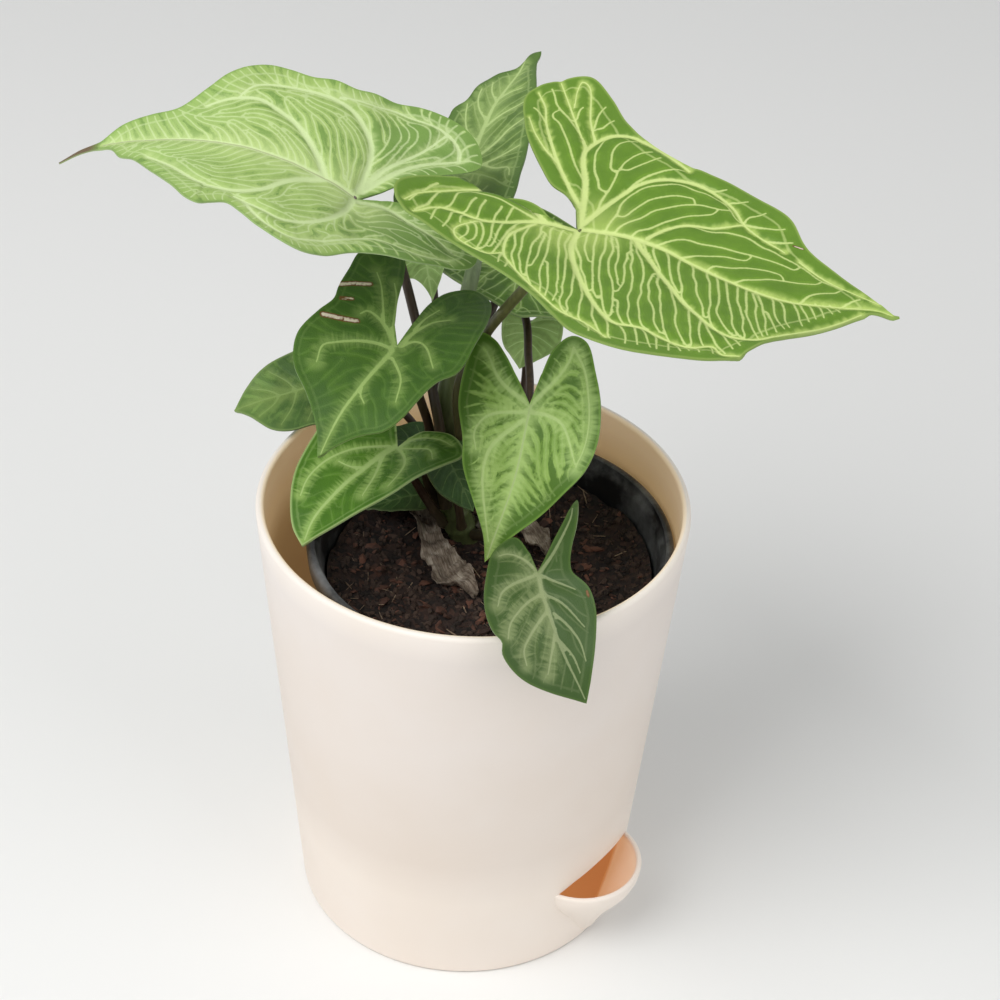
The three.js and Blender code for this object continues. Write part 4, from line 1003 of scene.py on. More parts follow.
def grow_leaf(name, stalk_skin, stalk_slot, look, **leaf):
    """One blade and its stalk. The outline and the veins are given in the flat blade: x runs
    from the stalk's seat along the midrib, y to each side."""
    leaf = {**PLAIN_SHAPE, **leaf}
    spacing = leaf["mesh"]
    left = smooth_line([(0, 0), *leaf["left"], *leaf["tip"]], spacing)
    right = smooth_line([(0, 0), *leaf["right"], *leaf["tip"]], spacing)
    left_edge = smooth_line([*leaf["left"], *leaf["tip"]], spacing)
    right_edge = smooth_line([*leaf["right"], *leaf["tip"]], spacing)
    loop = np.vstack([[(0, 0)], right_edge, left_edge[::-1][1:]])
    veins = leaf["veins"] or ruled_veins(leaf, left, right)
    widths = [(start, end) for start, end, _ in veins]
    lines = [smooth_line(points, spacing) for _, _, points in veins]
    lines = [line[inside(line, loop)] for line in lines]
    kept = [k for k, line in enumerate(lines) if len(line) > 1]
    widths, lines = [widths[k] for k in kept], [lines[k] for k in kept]
    fine = veinlets(lines, loop, leaf["veinlets"], leaf["branching"], leaf["sweep"], leaf["hem"],
                    seed=len(name))
    flat, triangles = flat_sheet(loop, lines + fine, spacing)

    main_far, main_near, ratio, main_run = to_lines(flat, lines, widths)
    fine_far, fine_near, fine_ratio, fine_run = to_lines(flat, fine, [leaf["hairs"]] * len(fine))
    at_main = main_far < fine_far
    far, run = np.where(at_main, main_far, fine_far), np.where(at_main, main_run, fine_run)
    nearest = np.where(at_main, main_near, fine_near + len(lines))
    edge = to_lines(flat, [np.vstack([loop, loop[:1]])])[0]
    middle = to_lines(flat, lines[:1])[0]
    scar = np.full(len(flat), 9.0)
    for half, points in leaf["scars"]:
        scar = np.minimum(scar, to_lines(flat, [smooth_line(points, 0.5)])[0] / half)
    seat = np.hypot(flat[:, 0], flat[:, 1])

    lift = np.where(flat[:, 1] > 0, *leaf["lift"])
    solid = bend(leaf, flat[:, 0], flat[:, 1], lift)
    around = np.linspace(0, 1, len(loop), endpoint=False)
    near_edge = np.array([np.linalg.norm(loop - p, axis=1).argmin() for p in flat])
    ripple = np.sin(4 * math.pi * leaf["waves"] * around[near_edge])
    ripple *= np.exp(-edge / (WAVE_REACH * leaf["length"]))
    sunk = np.zeros(len(flat))
    for (start, end), line in zip(widths, lines):
        distance = to_lines(flat, [line])[0]
        sunk = np.maximum(sunk, (0.3 + start) * np.exp(-(distance / (1.2 * start + 0.6)) ** 2))
    puff = np.array([noise.noise(Vector((x * 0.11, y * 0.11, len(name)))) for x, y in flat])
    bulge = PUFF * puff * np.clip(edge / PUFF_MARGIN, 0, 1)
    solid[:, 2] += leaf["wave"] * ripple - leaf["relief"] * sunk + bulge

    turn = np.array(Matrix.Rotation(math.radians(leaf["heading"]), 3, "Z") @ Matrix.Rotation(
        math.radians(-leaf["pitch"]), 3, "Y") @ Matrix.Rotation(math.radians(leaf["roll"]), 3, "X"))
    placed = solid @ turn.T + np.array(leaf["at"])

    index = np.array(triangles)
    normal = np.zeros_like(placed)
    a, b, c = (placed[index[:, k]] for k in range(3))
    area = np.cross(b - a, c - a)
    if (area @ turn[:, 2]).sum() < 0:
        index = index[:, ::-1]
        area = -area
    for k in range(3):
        np.add.at(normal, index[:, k], area)
    normal /= np.linalg.norm(normal, axis=1)[:, None]
    half = 0.5 * BLADE_THICKNESS
    top = placed + half * normal
    bottom = placed - (half + 0.5 * sunk)[:, None] * normal
    count = len(placed)
    faces = [tuple(int(v) for v in t) for t in index]
    faces += [tuple(int(v) + count for v in t[::-1]) for t in index]
    pairs = dict.fromkeys((int(t[i]), int(t[(i + 1) % 3])) for t in index for i in range(3))
    faces += [(q, p, p + count, q + count) for p, q in pairs if (q, p) not in pairs]
    piece = make_piece("blade_" + name, np.vstack([top, bottom]), faces, blade_material(look),
                       "leaf_" + name, "leaf_" + name, angle=75)
    dry = np.clip((flat[:, 0] - leaf["dry_from"]) / 3, 0, 1)
    for label, values in (("vein", ratio), ("veinlet", fine_ratio), ("vein_far", far), ("run", run),
                          ("nearest", NUMBER_STEP * nearest), ("main_far", main_far),
                          ("main_run", main_run), ("main_near", NUMBER_STEP * main_near),
                          ("edge", edge), ("middle", middle), ("seat", seat), ("scar", scar),
                          ("dry", dry)):
        piece.data.attributes.new(label, "FLOAT", "POINT").data.foreach_set(
            "value", np.tile(values, 2).astype(np.float32))
    piece.data.attributes.new("under", "FLOAT", "POINT").data.foreach_set(
        "value", np.repeat([0.0, 1.0], count).astype(np.float32))
    piece.data.attributes.new("flat", "FLOAT_VECTOR", "POINT").data.foreach_set(
        "vector", np.tile(np.column_stack([flat, 0 * edge]), (2, 1)).astype(np.float32).ravel())
    grow_stalk(name, stalk_skin, stalk_slot, leaf, turn)


# The oldest, palest leaf stands at the upper left. Its veins are nearly white, the cells between
# them stay green, and its long dry tip has turned brown.
pale_old_leaf = {
    "name": "Pale bleached leaf skin", "green": "#A8C273", "dark": "#98B463", "vein": "#CBDDA3",
    "flush": "#BDD289", "glow": "#BFD38F", "flush_to": 9, "flush_amount": 0.75, "seat_flush": 18,
    "flush_ragged": 8, "halo": 2.6, "halo_amount": 0.6, "veinlet_amount": 0.55, "cell": "#6A8E43",
    "cell_amount": 0.75, "cell_from": 0.55, "left_half_shade_cells": -0.25, "margin_cells": -0.5,
    "middle_cells": 0, "cell_reach": 10, "lobe_cells": 1.3, "ring": 3.0, "ring_amount": 0.4,
    "rim": 2, "rim_amount": 0.4, "rim_green": "#8DAF59", "margin": "#7F9E53", "margin_amount": 0.5,
    "groove": "#8E8B6B", "groove_amount": 0.5, "tip_from": 28, "tip_to": 54, "tip": "#9AB868",
    "tip_plain": 0.5, "dry": "#6E5C44", "under": "#9DB281",
}

grow_leaf(
    "upper_left", brown_skin, "stalk_brown", pale_old_leaf,
    at=(-32.6, 10.7, 226), heading=178, pitch=33, roll=-10, length=70,
    fold=10, droop=52, lift=(19, 19), wave=0.8, waves=5,
    left=[(-5, -2.4), (-9, -4.4), (-16, -5.6), (-23, -3), (-28, 4), (-27.6, 10), (-24.6, 13.4),
          (-20.7, 15.2), (-14.8, 18.8), (-7.9, 21.2), (-1.2, 24.6), (5.6, 32), (11.8, 36), (17.3, 35.6),
          (22.7, 32.2), (26.9, 27.6), (30.9, 24.8), (34.5, 26.9), (37.3, 28.9), (40.9, 27.8),
          (46.1, 21.8), (51.5, 15.2), (58.2, 9.2), (62.5, 8.2), (66.6, 3.8), (71, 2.4), (76, 2.1)],
    right=[(-5, -5), (-9, -10), (-16, -18), (-23.2, -26.4), (-21.6, -31.6), (-18.2, -35.4),
          (-13.1, -37.8), (-6.8, -38.6), (-0.8, -36.8), (4.7, -35.4), (10.1, -32.8), (15.6, -32.6),
          (21, -31.4), (26.4, -32), (31.4, -31.8), (36.5, -29.4), (41.4, -25), (45.7, -18.9),
          (50.9, -12.6), (57.8, -9.8), (65.6, -5.8), (71, -0.6), (76, 0.6)],
    tip=[(81, 3.6)],
    veins=[
        (0.9, 0.2, [(0.5, -0.1), (8.5, -1.1), (30.5, -2.1), (69, 0.4)]),
        (1, 0.3, [(9.5, -1.1), (12.5, -6.1), (18.5, -12.6), (22, -15.6), (26.5, -17.6),
                    (31.5, -19.1), (35.5, -18.6), (39.5, -17.1), (44, -14.1)]),
        (0.9, 0.25, [(0.5, -2.6), (0, -7.6), (1.5, -19.6), (8, -26.1), (11.5, -27.1),
                    (20.5, -27.1), (30.5, -25.1), (34, -23.1), (36.5, -19.6)]),
        (0.7, 0.2, [(-0.5, -3.6), (-3, -11.1), (-11, -24.6), (-14, -31.6)]),
        (0.85, 0.25, [(-0.5, -3.1), (-7.5, -14.6), (-12, -20.1), (-19, -26.1)]),
        (0.4, 0.2, [(-19, -26.1), (-17.5, -29.6), (-15, -32.1), (-11.5, -33.6), (-6, -34.1),
                    (-1, -34.1), (4, -31.6), (13, -28.6)]),
        (0.9, 0.3, [(10.5, -0.1), (16, 3.9), (20, 8.4), (24, 14.4), (29, 17.9), (33.5, 18.9),
                    (39, 18.4), (43.5, 15.4), (49, 10.4), (54.5, 7.4)]),
        (0.85, 0.3, [(1, 1.9), (2.5, 7.9), (6, 14.9), (11, 20.9), (15, 23.9), (18.5, 24.9),
                    (29.5, 20.9)]),
        (0.8, 0.2, [(-0.5, 0.9), (-4.5, -0.6), (-9, -1.1), (-20, 4.4), (-23.5, 7.4)]),
        (0.4, 0.2, [(27, 22.4), (23.5, 27.4), (19.5, 30.9), (14.5, 31.9), (7.5, 26.9), (-6, 14.9),
                    (-16.5, 13.9), (-23, 11.4)])],
    dry_from=70, relief=0.8, mesh=0.68, veinlets=(1.9, 1.8), hem=0.9,
    foot=(-110, 123), radii=(1.5, 1.1),
    route=[(-9.4, 15.6, 135), (-10.1, 17.4, 147.7), (-12, 18.5, 158.4), (-14.5, 22, 168.7),
           (-17.9, 27, 179.4), (-20.8, 31, 188.8), (-23.4, 31, 198), (-28, 21.5, 212)])

# The large bright leaf at the upper right, with every vein picked out in pale green.
bright_veined_leaf = {
    "name": "Bright green veined leaf skin", "green": "#6F9332", "dark": "#62862C",
    "vein": "#CCDC8D", "flush": "#B4CA6C", "glow": "#B7CD70", "flush_to": 2.6, "flush_amount": 0.7,
    "seat_flush": 19, "halo": 1.7, "halo_amount": 0.75, "feather": 0.4, "veinlet_amount": 0.8,
    "cell": "#5D8129", "cell_amount": 0.5, "cell_from": 0.7, "ring": 4.0, "ring_amount": 0.4,
    "rim": 4, "rim_amount": 0.5, "rim_green": "#6A8D34", "margin": "#A8BC69", "under": "#7F9753",
}

grow_leaf(
    "upper_right", green_brown_skin, "stalk_brown", bright_veined_leaf,
    at=(23.9, -3.5, 228), heading=-22, pitch=2, roll=4, length=92,
    fold=8, droop=8, lift=(0, 16), wave=0.8, waves=5,
    left=[(-3, 7.6), (-7.2, 12.2), (-12.9, 15), (-17.5, 19.6), (-24.4, 28), (-29.4, 37), (-33.2, 47.6),
          (-31.6, 52), (-26, 55), (-18.6, 57.8), (-10.4, 52), (-2.8, 44), (4, 39.2), (11, 35),
          (20.8, 31.4), (30.5, 29.8), (39.8, 26), (49.3, 21), (56.4, 13), (66, 8.2)],
    right=[(-4.2, 0.2), (-7.6, 0.8), (-12, 4), (-18, 6), (-25, 5), (-33, -1), (-39, -10), (-41, -18),
          (-37, -24), (-29, -25.5), (-14, -30), (1, -36), (9, -42), (18, -49.5), (30, -52.5), (43, -47.5),
          (54, -42), (61, -29), (66.4, -19.5), (72, -11), (77, -4.6)],
    tip=[(85, -2)],
    veins=[
        (0.8, 0.15, [(0.5, 0), (5.5, 1), (16.5, 1), (23.5, -0.5), (40, -6), (55, -8.5),
                    (78.5, -1), (83, -1.5)]),
        (0.8, 0.2, [(0.5, 2.5), (5, 15.5), (9, 21.5), (14.5, 25), (20.5, 26.5), (25, 26),
                    (30, 24), (34.5, 21), (38.5, 16.5), (44, 13), (51.5, 10)]),
        (0.2, 0.15, [(56, 8), (63.5, 5), (79, 1)]),
        (0.6, 0.25, [(18, 2.5), (21.5, 7.5), (26, 11), (32.5, 12.5), (38.5, 16)]),
        (0.95, 0.35, [(0, 1.5), (-5, 18.5), (-8.5, 26), (-9.5, 30.5), (-7.5, 35.5), (-4.5, 38.5),
                    (-0.5, 39.5), (4, 38), (19, 30.5)]),
        (0.4, 0.15, [(-9.5, 30.5), (-25.5, 54.5)]),
        (0.3, 0.15, [(-8.5, 34.5), (-12.5, 42), (-17.5, 54.5), (-20, 56), (-20, 52), (-18.5, 46)]),
        (0.6, 0.2, [(-3, 9), (-17, 27), (-23.5, 38), (-26.5, 45), (-30.5, 50.5)]),
        (0.25, 0.15, [(-15.5, 24), (-19.5, 27), (-24.5, 32.5), (-29, 39.5)]),
        (0.8, 0.2, [(-0.5, -0.5), (-6.5, -1.5), (-11.5, -4), (-19, -11.5), (-22.5, -13),
                    (-26, -13.5), (-30.5, -16), (-34.5, -23)]),
        (0.55, 0.15, [(-8.5, -1.5), (-19.5, 2.5), (-24, 1), (-28, -2), (-32, -8), (-36, -15),
                    (-37.5, -21)]),
        (0.4, 0.2, [(-10, -4.5), (-12, -9.5), (-13, -14.5), (-12, -20), (-10, -24), (5.5, -36.5),
                    (11.5, -40.5), (18.5, -43.5), (25.5, -48.5)]),
        (0.3, 0.15, [(-11.5, -22.5), (-14.5, -25.5), (-19, -25.5), (-23, -24), (-24.5, -21),
                    (-22.5, -16), (-18, -10.5)]),
        (0.8, 0.25, [(0.5, -1.5), (1.5, -8.5), (9.5, -23.5), (20.5, -37), (24.5, -40),
                    (31, -39.5), (36.5, -41), (44, -41), (48.5, -38), (51.5, -40.5), (55.5, -39.5)]),
        (0.7, 0.2, [(15.5, 0.5), (28.5, -14.5), (40, -26), (47, -31), (52, -32), (57, -31),
                    (60.5, -27), (76, -4.5)])],
    relief=0.9, mesh=0.68, veinlets=(4.0, 2.0), branching=(50, 10), sweep=((40, 0), (72, 0.3)), hem=3.2,
    hairs=(0.32, 0.22),
    scars=[(0.25, [(53, 12.4), (55.6, 12.2)])],
    foot=(-35, 123), radii=(1.7, 1.4),
    route=[(-3.2, 16.8, 136), (-4.6, 17.4, 150.4), (-5.3, 17.4, 158.9), (-4.7, 17, 165.9),
           (1.7, 14, 183.6), (6, 10, 193.1), (10.4, 4, 203.4), (18, -2, 218)])

# A narrow grey-green leaf stands upright behind the two large ones.
grey_upright_leaf = {
    "name": "Grey-green leaf skin with a pale middle", "green": "#6F8A45", "dark": "#5C7839",
    "vein": "#B4CA85", "flush": "#9BB46C", "glow": "#9BB46C", "flush_to": 6, "flush_amount": 0.6,
    "seat_flush": 12, "flush_ragged": 8, "halo": 3, "halo_amount": 0.6, "veinlet_amount": 0.3,
    "cell": "#5B783E", "cell_amount": 0.6, "margin_cells": 0.5, "middle_cells": -0.2,
    "cell_reach": 7, "rim": 3.5, "rim_amount": 0.7, "rim_green": "#557434", "margin": "#4D692E",
}

grow_leaf(
    "upper_back", pale_skin, "stalk_pale", grey_upright_leaf,
    at=(-6.3, 53.5, 206), heading=72, pitch=22, roll=-10, length=60,
    fold=12, droop=20, wave=0.6, waves=4,
    left=[(-4, 3.6), (-9, 7), (-13, 11), (-11, 16), (-4, 18), (5, 16.8), (14, 14.6), (23, 12.8),
          (27, 12.6), (31.6, 9.9), (38, 9.4), (43, 8), (46.8, 6.4), (50.4, 2.4), (56, 1.2), (59.6, 0.4)],
    right=[(-4, -3.6), (-9, -7), (-13, -11.5), (-11, -16.5), (-4, -18.6), (4, -17.6), (12, -16.2),
          (28, -12.6), (42, -7.7), (49.8, -4.4), (55.7, -2.1), (59.4, -1.8)],
    tip=[(61.4, -1.2)],
    veins=[
        (0.7, 0.2, [(5, 0.4), (32, 1.9), (50, 0.9), (56, 1.4)]),
        (0.3, 0.15, [(16, 0.9), (19.5, 5.4), (24.5, 7.9), (30, 9.4)]),
        (0.3, 0.15, [(24.5, 1.4), (29, 5.4), (33.5, 7.4), (37.5, 7.9)]),
        (0.3, 0.15, [(33.5, 1.9), (37.5, 4.9), (42, 6.4)]),
        (0.55, 0.2, [(10, -0.1), (17, -5.1), (21, -6.6), (26, -10.6)]),
        (0.5, 0.15, [(6.5, -0.1), (7.5, -3.6), (14.5, -13.1)]),
        (0.35, 0.15, [(23, 0.9), (28, -1.6), (34.5, -7.1)]),
        (0.3, 0.15, [(34.5, 1.9), (38.5, -0.6), (40.5, -3.6)]),
        (0.35, 0.15, [(7.5, -3.6), (6, -8.1), (6, -12.6), (3, -14.1)])],
    foot=(None, None), radii=(2.7, 1.8),
    route=[(-8.4, 20.4, 130.8), (-7.3, 21.8, 145.4), (-8.8, 22.5, 156.2), (-6.1, 24, 172.7),
           (-3.6, 25, 189.1), (-2.2, 28, 196.8), (-3.2, 38, 198.6), (-5, 47, 200.6)])

# A dark leaf at the middle left with dull grey-green veins. Slits in it have healed brown.
dark_scarred_leaf = {
    "name": "Dark green leaf skin with dull veins", "green": "#4D6E29", "dark": "#416225",
    "vein": "#98B168", "flush": "#7F9C50", "glow": "#78934D", "flush_to": 2, "flush_amount": 0.4,
    "seat_flush": 7, "halo": 3.4, "halo_amount": 0.75, "feather": 1.2, "veinlet_amount": 0.07,
    "cell": "#385620", "cell_amount": 0.4, "ring": 1.6, "ring_amount": 0.1, "margin": "#62833A",
    "margin_width": 0.7, "under": "#70874D",
}

grow_leaf(
    "middle_left", brown_skin, "stalk_brown", dark_scarred_leaf,
    at=(-21.4, -4.2, 191), heading=238, pitch=-12, roll=-8, length=41,
    fold=12, droop=26, wave=0.5, waves=4,
    left=[(-9, -1), (-18, -2), (-26, -0.5), (-31.5, 4), (-29, 10.5), (-19, 16), (-9, 18.5), (2, 20.2),
          (7, 17.5), (20, 15.3), (25, 13), (29, 8)],
    right=[(-5, -4.4), (-13, -8.8), (-21, -12.6), (-27.4, -17.4), (-25.4, -23), (-19, -26), (-12, -24.6),
          (-5, -22.8), (-0.6, -21.2), (5, -22.2), (12, -23), (17, -21.2), (21.6, -17.5), (26, -10.8),
          (32, -4)],
    tip=[(38.5, 0.5)],
    veins=[
        (0.65, 0.15, [(2.5, 0), (28.5, -0.5), (37.5, 1)]),
        (0.5, 0.15, [(2, -1), (3, -5), (9.5, -13.5), (12, -15.5), (17, -14)]),
        (0.8, 0.2, [(0.5, -0.5), (-2.5, -5), (-4, -9), (-4, -12.5), (-2, -13.5)]),
        (0.5, 0.15, [(-1, -2.5), (-12.5, -9), (-17, -13)]),
        (0.35, 0.15, [(-3, -6.5), (-13.5, -15), (-16.5, -18.5)]),
        (0.4, 0.15, [(0, 1.5), (-3, 3.5), (-3, 6.5), (3, 13.5)]),
        (0.7, 0.2, [(-1, 1), (-5.5, 1), (-9, 2), (-12.5, 3.5), (-15.5, 6.5)]),
        (0.3, 0.15, [(-7, 0.5), (-12.5, 0.5), (-18, 1.5)]),
        (0.35, 0.15, [(4.5, 1.5), (10, 8), (16.5, 11)]),
        (0.25, 0.15, [(16.5, 0), (18.5, 1), (20.5, 3.5)])],
    scars=[(0.7, [(-5.5, -23), (-8.5, -20.5), (-11.5, -17)]), (0.5, [(-2, -20), (-4, -17.5)]),
           (0.7, [(5, -20.6), (3, -16.5), (0.8, -12.5)])],
    foot=(180, 121), radii=(1.4, 1.1),
    route=[(-13.6, 20.2, 130), (-13, 21, 144.5), (-15.5, 17, 158), (-18.4, 8, 173.5), (-20.6, 0, 184.5)])

# The leaf that hangs in the middle: a wide pale centre that breaks up into dark streaks.
streaked_leaf = {
    "name": "Pale leaf skin with dark streaks", "green": "#8DAC57", "dark": "#7B9C46",
    "vein": "#B9CE8C", "flush": "#A9C673", "glow": "#ACC878", "flush_to": 5, "flush_amount": 0.5,
    "flush_ragged": 9, "vein_amount": 0.5, "halo": 4, "halo_amount": 0.6, "feather": 1.0,
    "veinlet_amount": 0.12, "ring_amount": 0.1, "cell": "#44671B", "cell_amount": 0.9,
    "cell_from": 0.6, "margin_cells": 1.1, "middle_cells": 0.05, "cell_reach": 9, "dash": 0.35,
    "rim": 3.4, "rim_amount": 0.7, "rim_green": "#58812B", "tip_from": 22, "tip_to": 36,
    "tip": "#5E8636", "tip_plain": 0.4, "margin": "#7FA348", "margin_amount": 0.5,
    "groove": "#A3B47F", "groove_amount": 0.5,
}

grow_leaf(
    "front_middle", brown_skin, "stalk_brown", streaked_leaf,
    at=(14, -2, 172), heading=252, pitch=-46, roll=-6, length=46,
    fold=12, droop=26, wave=0.5, waves=4,
    left=[(-8, 1), (-16, 2.5), (-20.5, 6.5), (-19.5, 11), (-12, 15.5), (-3, 19.5), (6, 21), (14, 19.5),
          (22, 14.5), (29, 9.5), (37, 2.8)],
    right=[(-6, -5), (-11, -9.5), (-14.5, -14), (-15, -18), (-8, -19.2), (4, -18.8), (13, -15.3),
          (20, -13.6), (28, -9.2), (37, -4.4)],
    tip=[(44.5, -2.6)],
    veins=[
        (0.4, 0.1, [(0, 0.3), (20.5, 0.8), (43, -2.2)]),
        (0.5, 0.15, [(2, 0.3), (5, -9.2), (7.5, -11.7), (11, -12.7), (15, -11.2)]),
        (0.55, 0.15, [(4.5, -0.7), (13, -7.2), (18, -8.2), (22.5, -7.7), (38.5, -2.7)]),
        (0.65, 0.2, [(0, -0.7), (-4, -9.2), (-10.5, -14.7)]),
        (0.55, 0.15, [(2, 0.8), (2, 5.8), (3.5, 10.3), (13.5, 16.8)]),
        (0.65, 0.2, [(-0.5, 0.8), (-9.5, 6.3), (-14, 7.8), (-17.5, 7.8)]),
        (0.3, 0.15, [(-17, 8.3), (-12, 12.3), (-5.5, 15.3), (1, 17.3), (7.5, 17.8), (13.5, 16.8)])],
    veinlets=(1.9, 1.9), hem=2,
    foot=(40, 118), radii=(1.4, 1.1),
    route=[(-0.4, 26.4, 132), (0.4, 29, 150), (1.8, 32.4, 168), (3, 34.5, 178), (6.6, 36.4, 181.6),
           (10.8, 34.4, 180.2), (12.8, 28, 178), (13.4, 16, 175.4), (14, 6, 173.4)])

# A fresh mid-green leaf low on the left, veined in a lighter green.
fresh_green_leaf = {
    "name": "Fresh green leaf skin", "green": "#527B23", "dark": "#42691B", "vein": "#A2BC73",
    "flush": "#83A34F", "glow": "#8FAD5C", "flush_to": 2.5, "flush_amount": 0.45, "seat_flush": 5,
    "halo": 3.2, "halo_amount": 0.85, "feather": 1.2, "veinlet_amount": 0.1, "cell": "#436B1B",
    "cell_amount": 0.6, "ring": 1.8, "ring_amount": 0.2, "margin": "#B2C784", "margin_amount": 0.6,
}

grow_leaf(
    "lower_left", brown_skin, "stalk_brown", fresh_green_leaf,
    at=(-21.4, 6.8, 150), heading=228, pitch=-2, roll=0, length=42,
    fold=12, droop=30, wave=0.4, waves=3,
    left=[(-5, -0.8), (-11, -0.2), (-13.6, 5), (-11, 13), (-6, 19), (0, 18), (8, 16.2), (15, 14.8),
          (24, 11), (33, 7.6)],
    right=[(-3.5, -4), (-7, -8), (-10, -12), (-9, -16.6), (-3, -19.6), (5, -20.6), (14, -18.6), (24, -15),
          (32, -9.8), (38, -3.8)],
    tip=[(41, 2.6)],
    veins=[
        (0.85, 0.2, [(0.4, -0.6), (23.4, -1.1), (33.9, -0.1), (38.9, 1.9)]),
        (0.4, 0.15, [(1.9, -2.1), (10.4, -8.1), (14.4, -9.6), (19.4, -10.6), (24.9, -10.1),
                    (29.9, -8.1)]),
        (0.5, 0.15, [(3.9, -1.1), (12.9, 3.9), (20.4, 6.9)]),
        (0.5, 0.15, [(0.4, 0.4), (2.4, 4.9), (5.9, 8.4), (10.9, 10.4), (14.4, 10.9)]),
        (0.6, 0.15, [(-0.6, 0.4), (-5.1, 0.4), (-8.1, 2.4), (-9.6, 6.9), (-8.6, 12.4)]),
        (0.35, 0.15, [(-0.1, 1.4), (-3.6, 8.4), (-0.6, 12.9)]),
        (0.3, 0.15, [(12.4, -1.6), (14.4, -4.1), (15.4, -7.6)])],
    foot=(215, 116), radii=(1.4, 1),
    route=[(-12.4, 13.8, 125), (-16.8, 10.6, 136), (-20, 8.4, 144.5)])

# The leaf that droops over the front rim: grey-green, feathered with pale veins. Its left half, turned
# from the light, has painted shade: more dark cells and no pale feathering or flush.
feathered_leaf = {
    "name": "Grey-green feathered leaf skin", "green": "#526638", "dark": "#445A2D",
    "vein": "#9CA67A", "flush": "#849164", "glow": "#808E5F", "flush_to": 4, "flush_amount": 0.6,
    "flush_ragged": 7, "halo": 3.4, "vein_amount": 0.6, "halo_amount": 0.8, "feather": 1.3,
    "veinlet_amount": 0.15, "ring_amount": 0.1, "cell": "#3E562A", "cell_amount": 0.75,
    "margin_cells": 0.8, "middle_cells": 0, "left_half_shade_cells": 1.6, "left_half_shade_plain": 1, "cell_reach": 8,
    "rim": 4, "rim_amount": 0.85, "rim_green": "#3C5624", "margin": "#5B7438", "scar": "#7F5E3F",
}

grow_leaf(
    "front_low", brown_skin, "stalk_brown", feathered_leaf,
    at=(17.1, -45.7, 150), heading=285, pitch=-14, roll=6, length=38,
    fold=10, droop=50, wave=0.4, waves=4,
    left=[(-3, 2.4), (-8, 6), (-14, 10.6), (-19.4, 14), (-22.6, 16.8), (-16, 15.2), (-10.8, 13.4),
          (-5, 10.6), (-0.6, 9), (3, 8.6), (8.6, 11.6), (14, 12), (20.9, 10.4), (30, 7.4)],
    right=[(-6, -0.6), (-13, -2.8), (-12.8, -4.8), (-8, -10.2), (0, -13.8), (6.3, -16), (11, -16.4),
          (15.4, -15.6), (18, -14), (21, -14.6), (26.4, -11.8), (33, -3.8)],
    tip=[(36.9, 4.8)],
    veins=[
        (0.6, 0.15, [(0.4, 0.1), (5.9, -0.4), (21.9, 1.1), (35.4, 4.6)]),
        (0.5, 0.15, [(0.9, -0.4), (2.9, -7.4), (4.9, -10.9), (8.4, -12.9)]),
        (0.4, 0.15, [(6.4, 0.1), (8.4, -4.4), (10.9, -7.9), (13.9, -10.9), (17.4, -12.4)]),
        (0.4, 0.15, [(11.4, 0.1), (17.4, -6.4), (20.9, -8.9), (24.4, -8.9)]),
        (0.35, 0.15, [(16.9, 0.6), (27.9, -3.9)]),
        (0.5, 0.15, [(-0.6, -0.4), (-4.6, -2.9), (-7.1, -6.4), (-6.6, -8.9)]),
        (0.5, 0.15, [(-0.1, 1.1), (-4.1, 5.1), (-14.1, 12.6), (-19.1, 14.6)]),
        (0.4, 0.15, [(1.4, 0.6), (7.9, 8.1)]),
        (0.35, 0.15, [(7.4, 0.6), (10.4, 3.6), (17.9, 8.1)]),
        (0.35, 0.15, [(12.9, 1.1), (16.9, 4.1), (21.4, 6.1), (26.4, 6.6)]),
        (0.3, 0.15, [(19.9, 1.1), (24.4, 3.6), (28.9, 4.6)])],
    veinlets=(2.2, 2.2), hem=2.5, scars=[(0.3, [(9.4, 10.8), (10.8, 11)])],
    foot=(-40, 112), radii=(1.4, 1),
    route=[(6, 11, 116), (11, 0, 120), (14, -17, 129), (16.4, -33, 140), (17.1, -40, 145.4)])

# A dull leaf seen in part behind the middle left one.
dull_grey_leaf = {
    "name": "Dull grey-green leaf skin", "green": "#506F33", "dark": "#415E2B", "vein": "#91A865",
    "flush": "#879F56", "glow": "#7C944F", "flush_to": 5, "flush_amount": 0.5, "flush_ragged": 9,
    "halo": 3, "halo_amount": 0.45, "vein_amount": 0.45, "veinlet_amount": 0.08, "ring_amount": 0,
    "cell": "#466330", "cell_amount": 0.5, "tip_from": 14, "tip_to": 24, "tip": "#6F8F47",
}

grow_leaf(
    "far_left", brown_skin, "stalk_brown", dull_grey_leaf,
    at=(-39.8, 39.8, 149), heading=186, pitch=-6, roll=-24, length=35,
    fold=8, droop=14, wave=0.4, waves=3,
    left=[(-4, 4), (-10, 8), (-13, 12), (-9, 16.5), (1, 16), (8, 15.4), (14, 16), (20, 14.2), (26, 8.6)],
    right=[(-4, -4), (-9, -8), (-11, -12), (-4, -14), (4, -12.4), (13, -10.4), (21, -6.8), (27, -1.4)],
    tip=[(30.6, 5)],
    foot=(105, 117), radii=(1.3, 0.9),
    route=[(-10, 33, 124), (-20, 42, 135), (-32, 41, 146)])

# A small grey-green leaf between the stalks, its colours painted far lighter than its own to make up
# for the shade it stands in. The small blades are shaped much alike.
SMALL_BLADE = dict(fold=8, droop=20, wave=0.2, waves=3, mesh=0.7)
small_leaf_painted_lighter = {
    "name": "Small grey-green leaf skin", "green": "#BFE38D", "dark": "#A9CF79", "vein": "#DCF9AD",
    "flush": "#CDEF9B", "glow": "#C6E892", "flush_to": 2, "flush_amount": 0.4, "seat_flush": 3,
    "halo": 2, "halo_amount": 0.4, "veinlet_amount": 0.12, "cell": "#6A8D4A", "cell_amount": 0.3,
    "ring": 1.2, "ring_amount": 0.1,
}

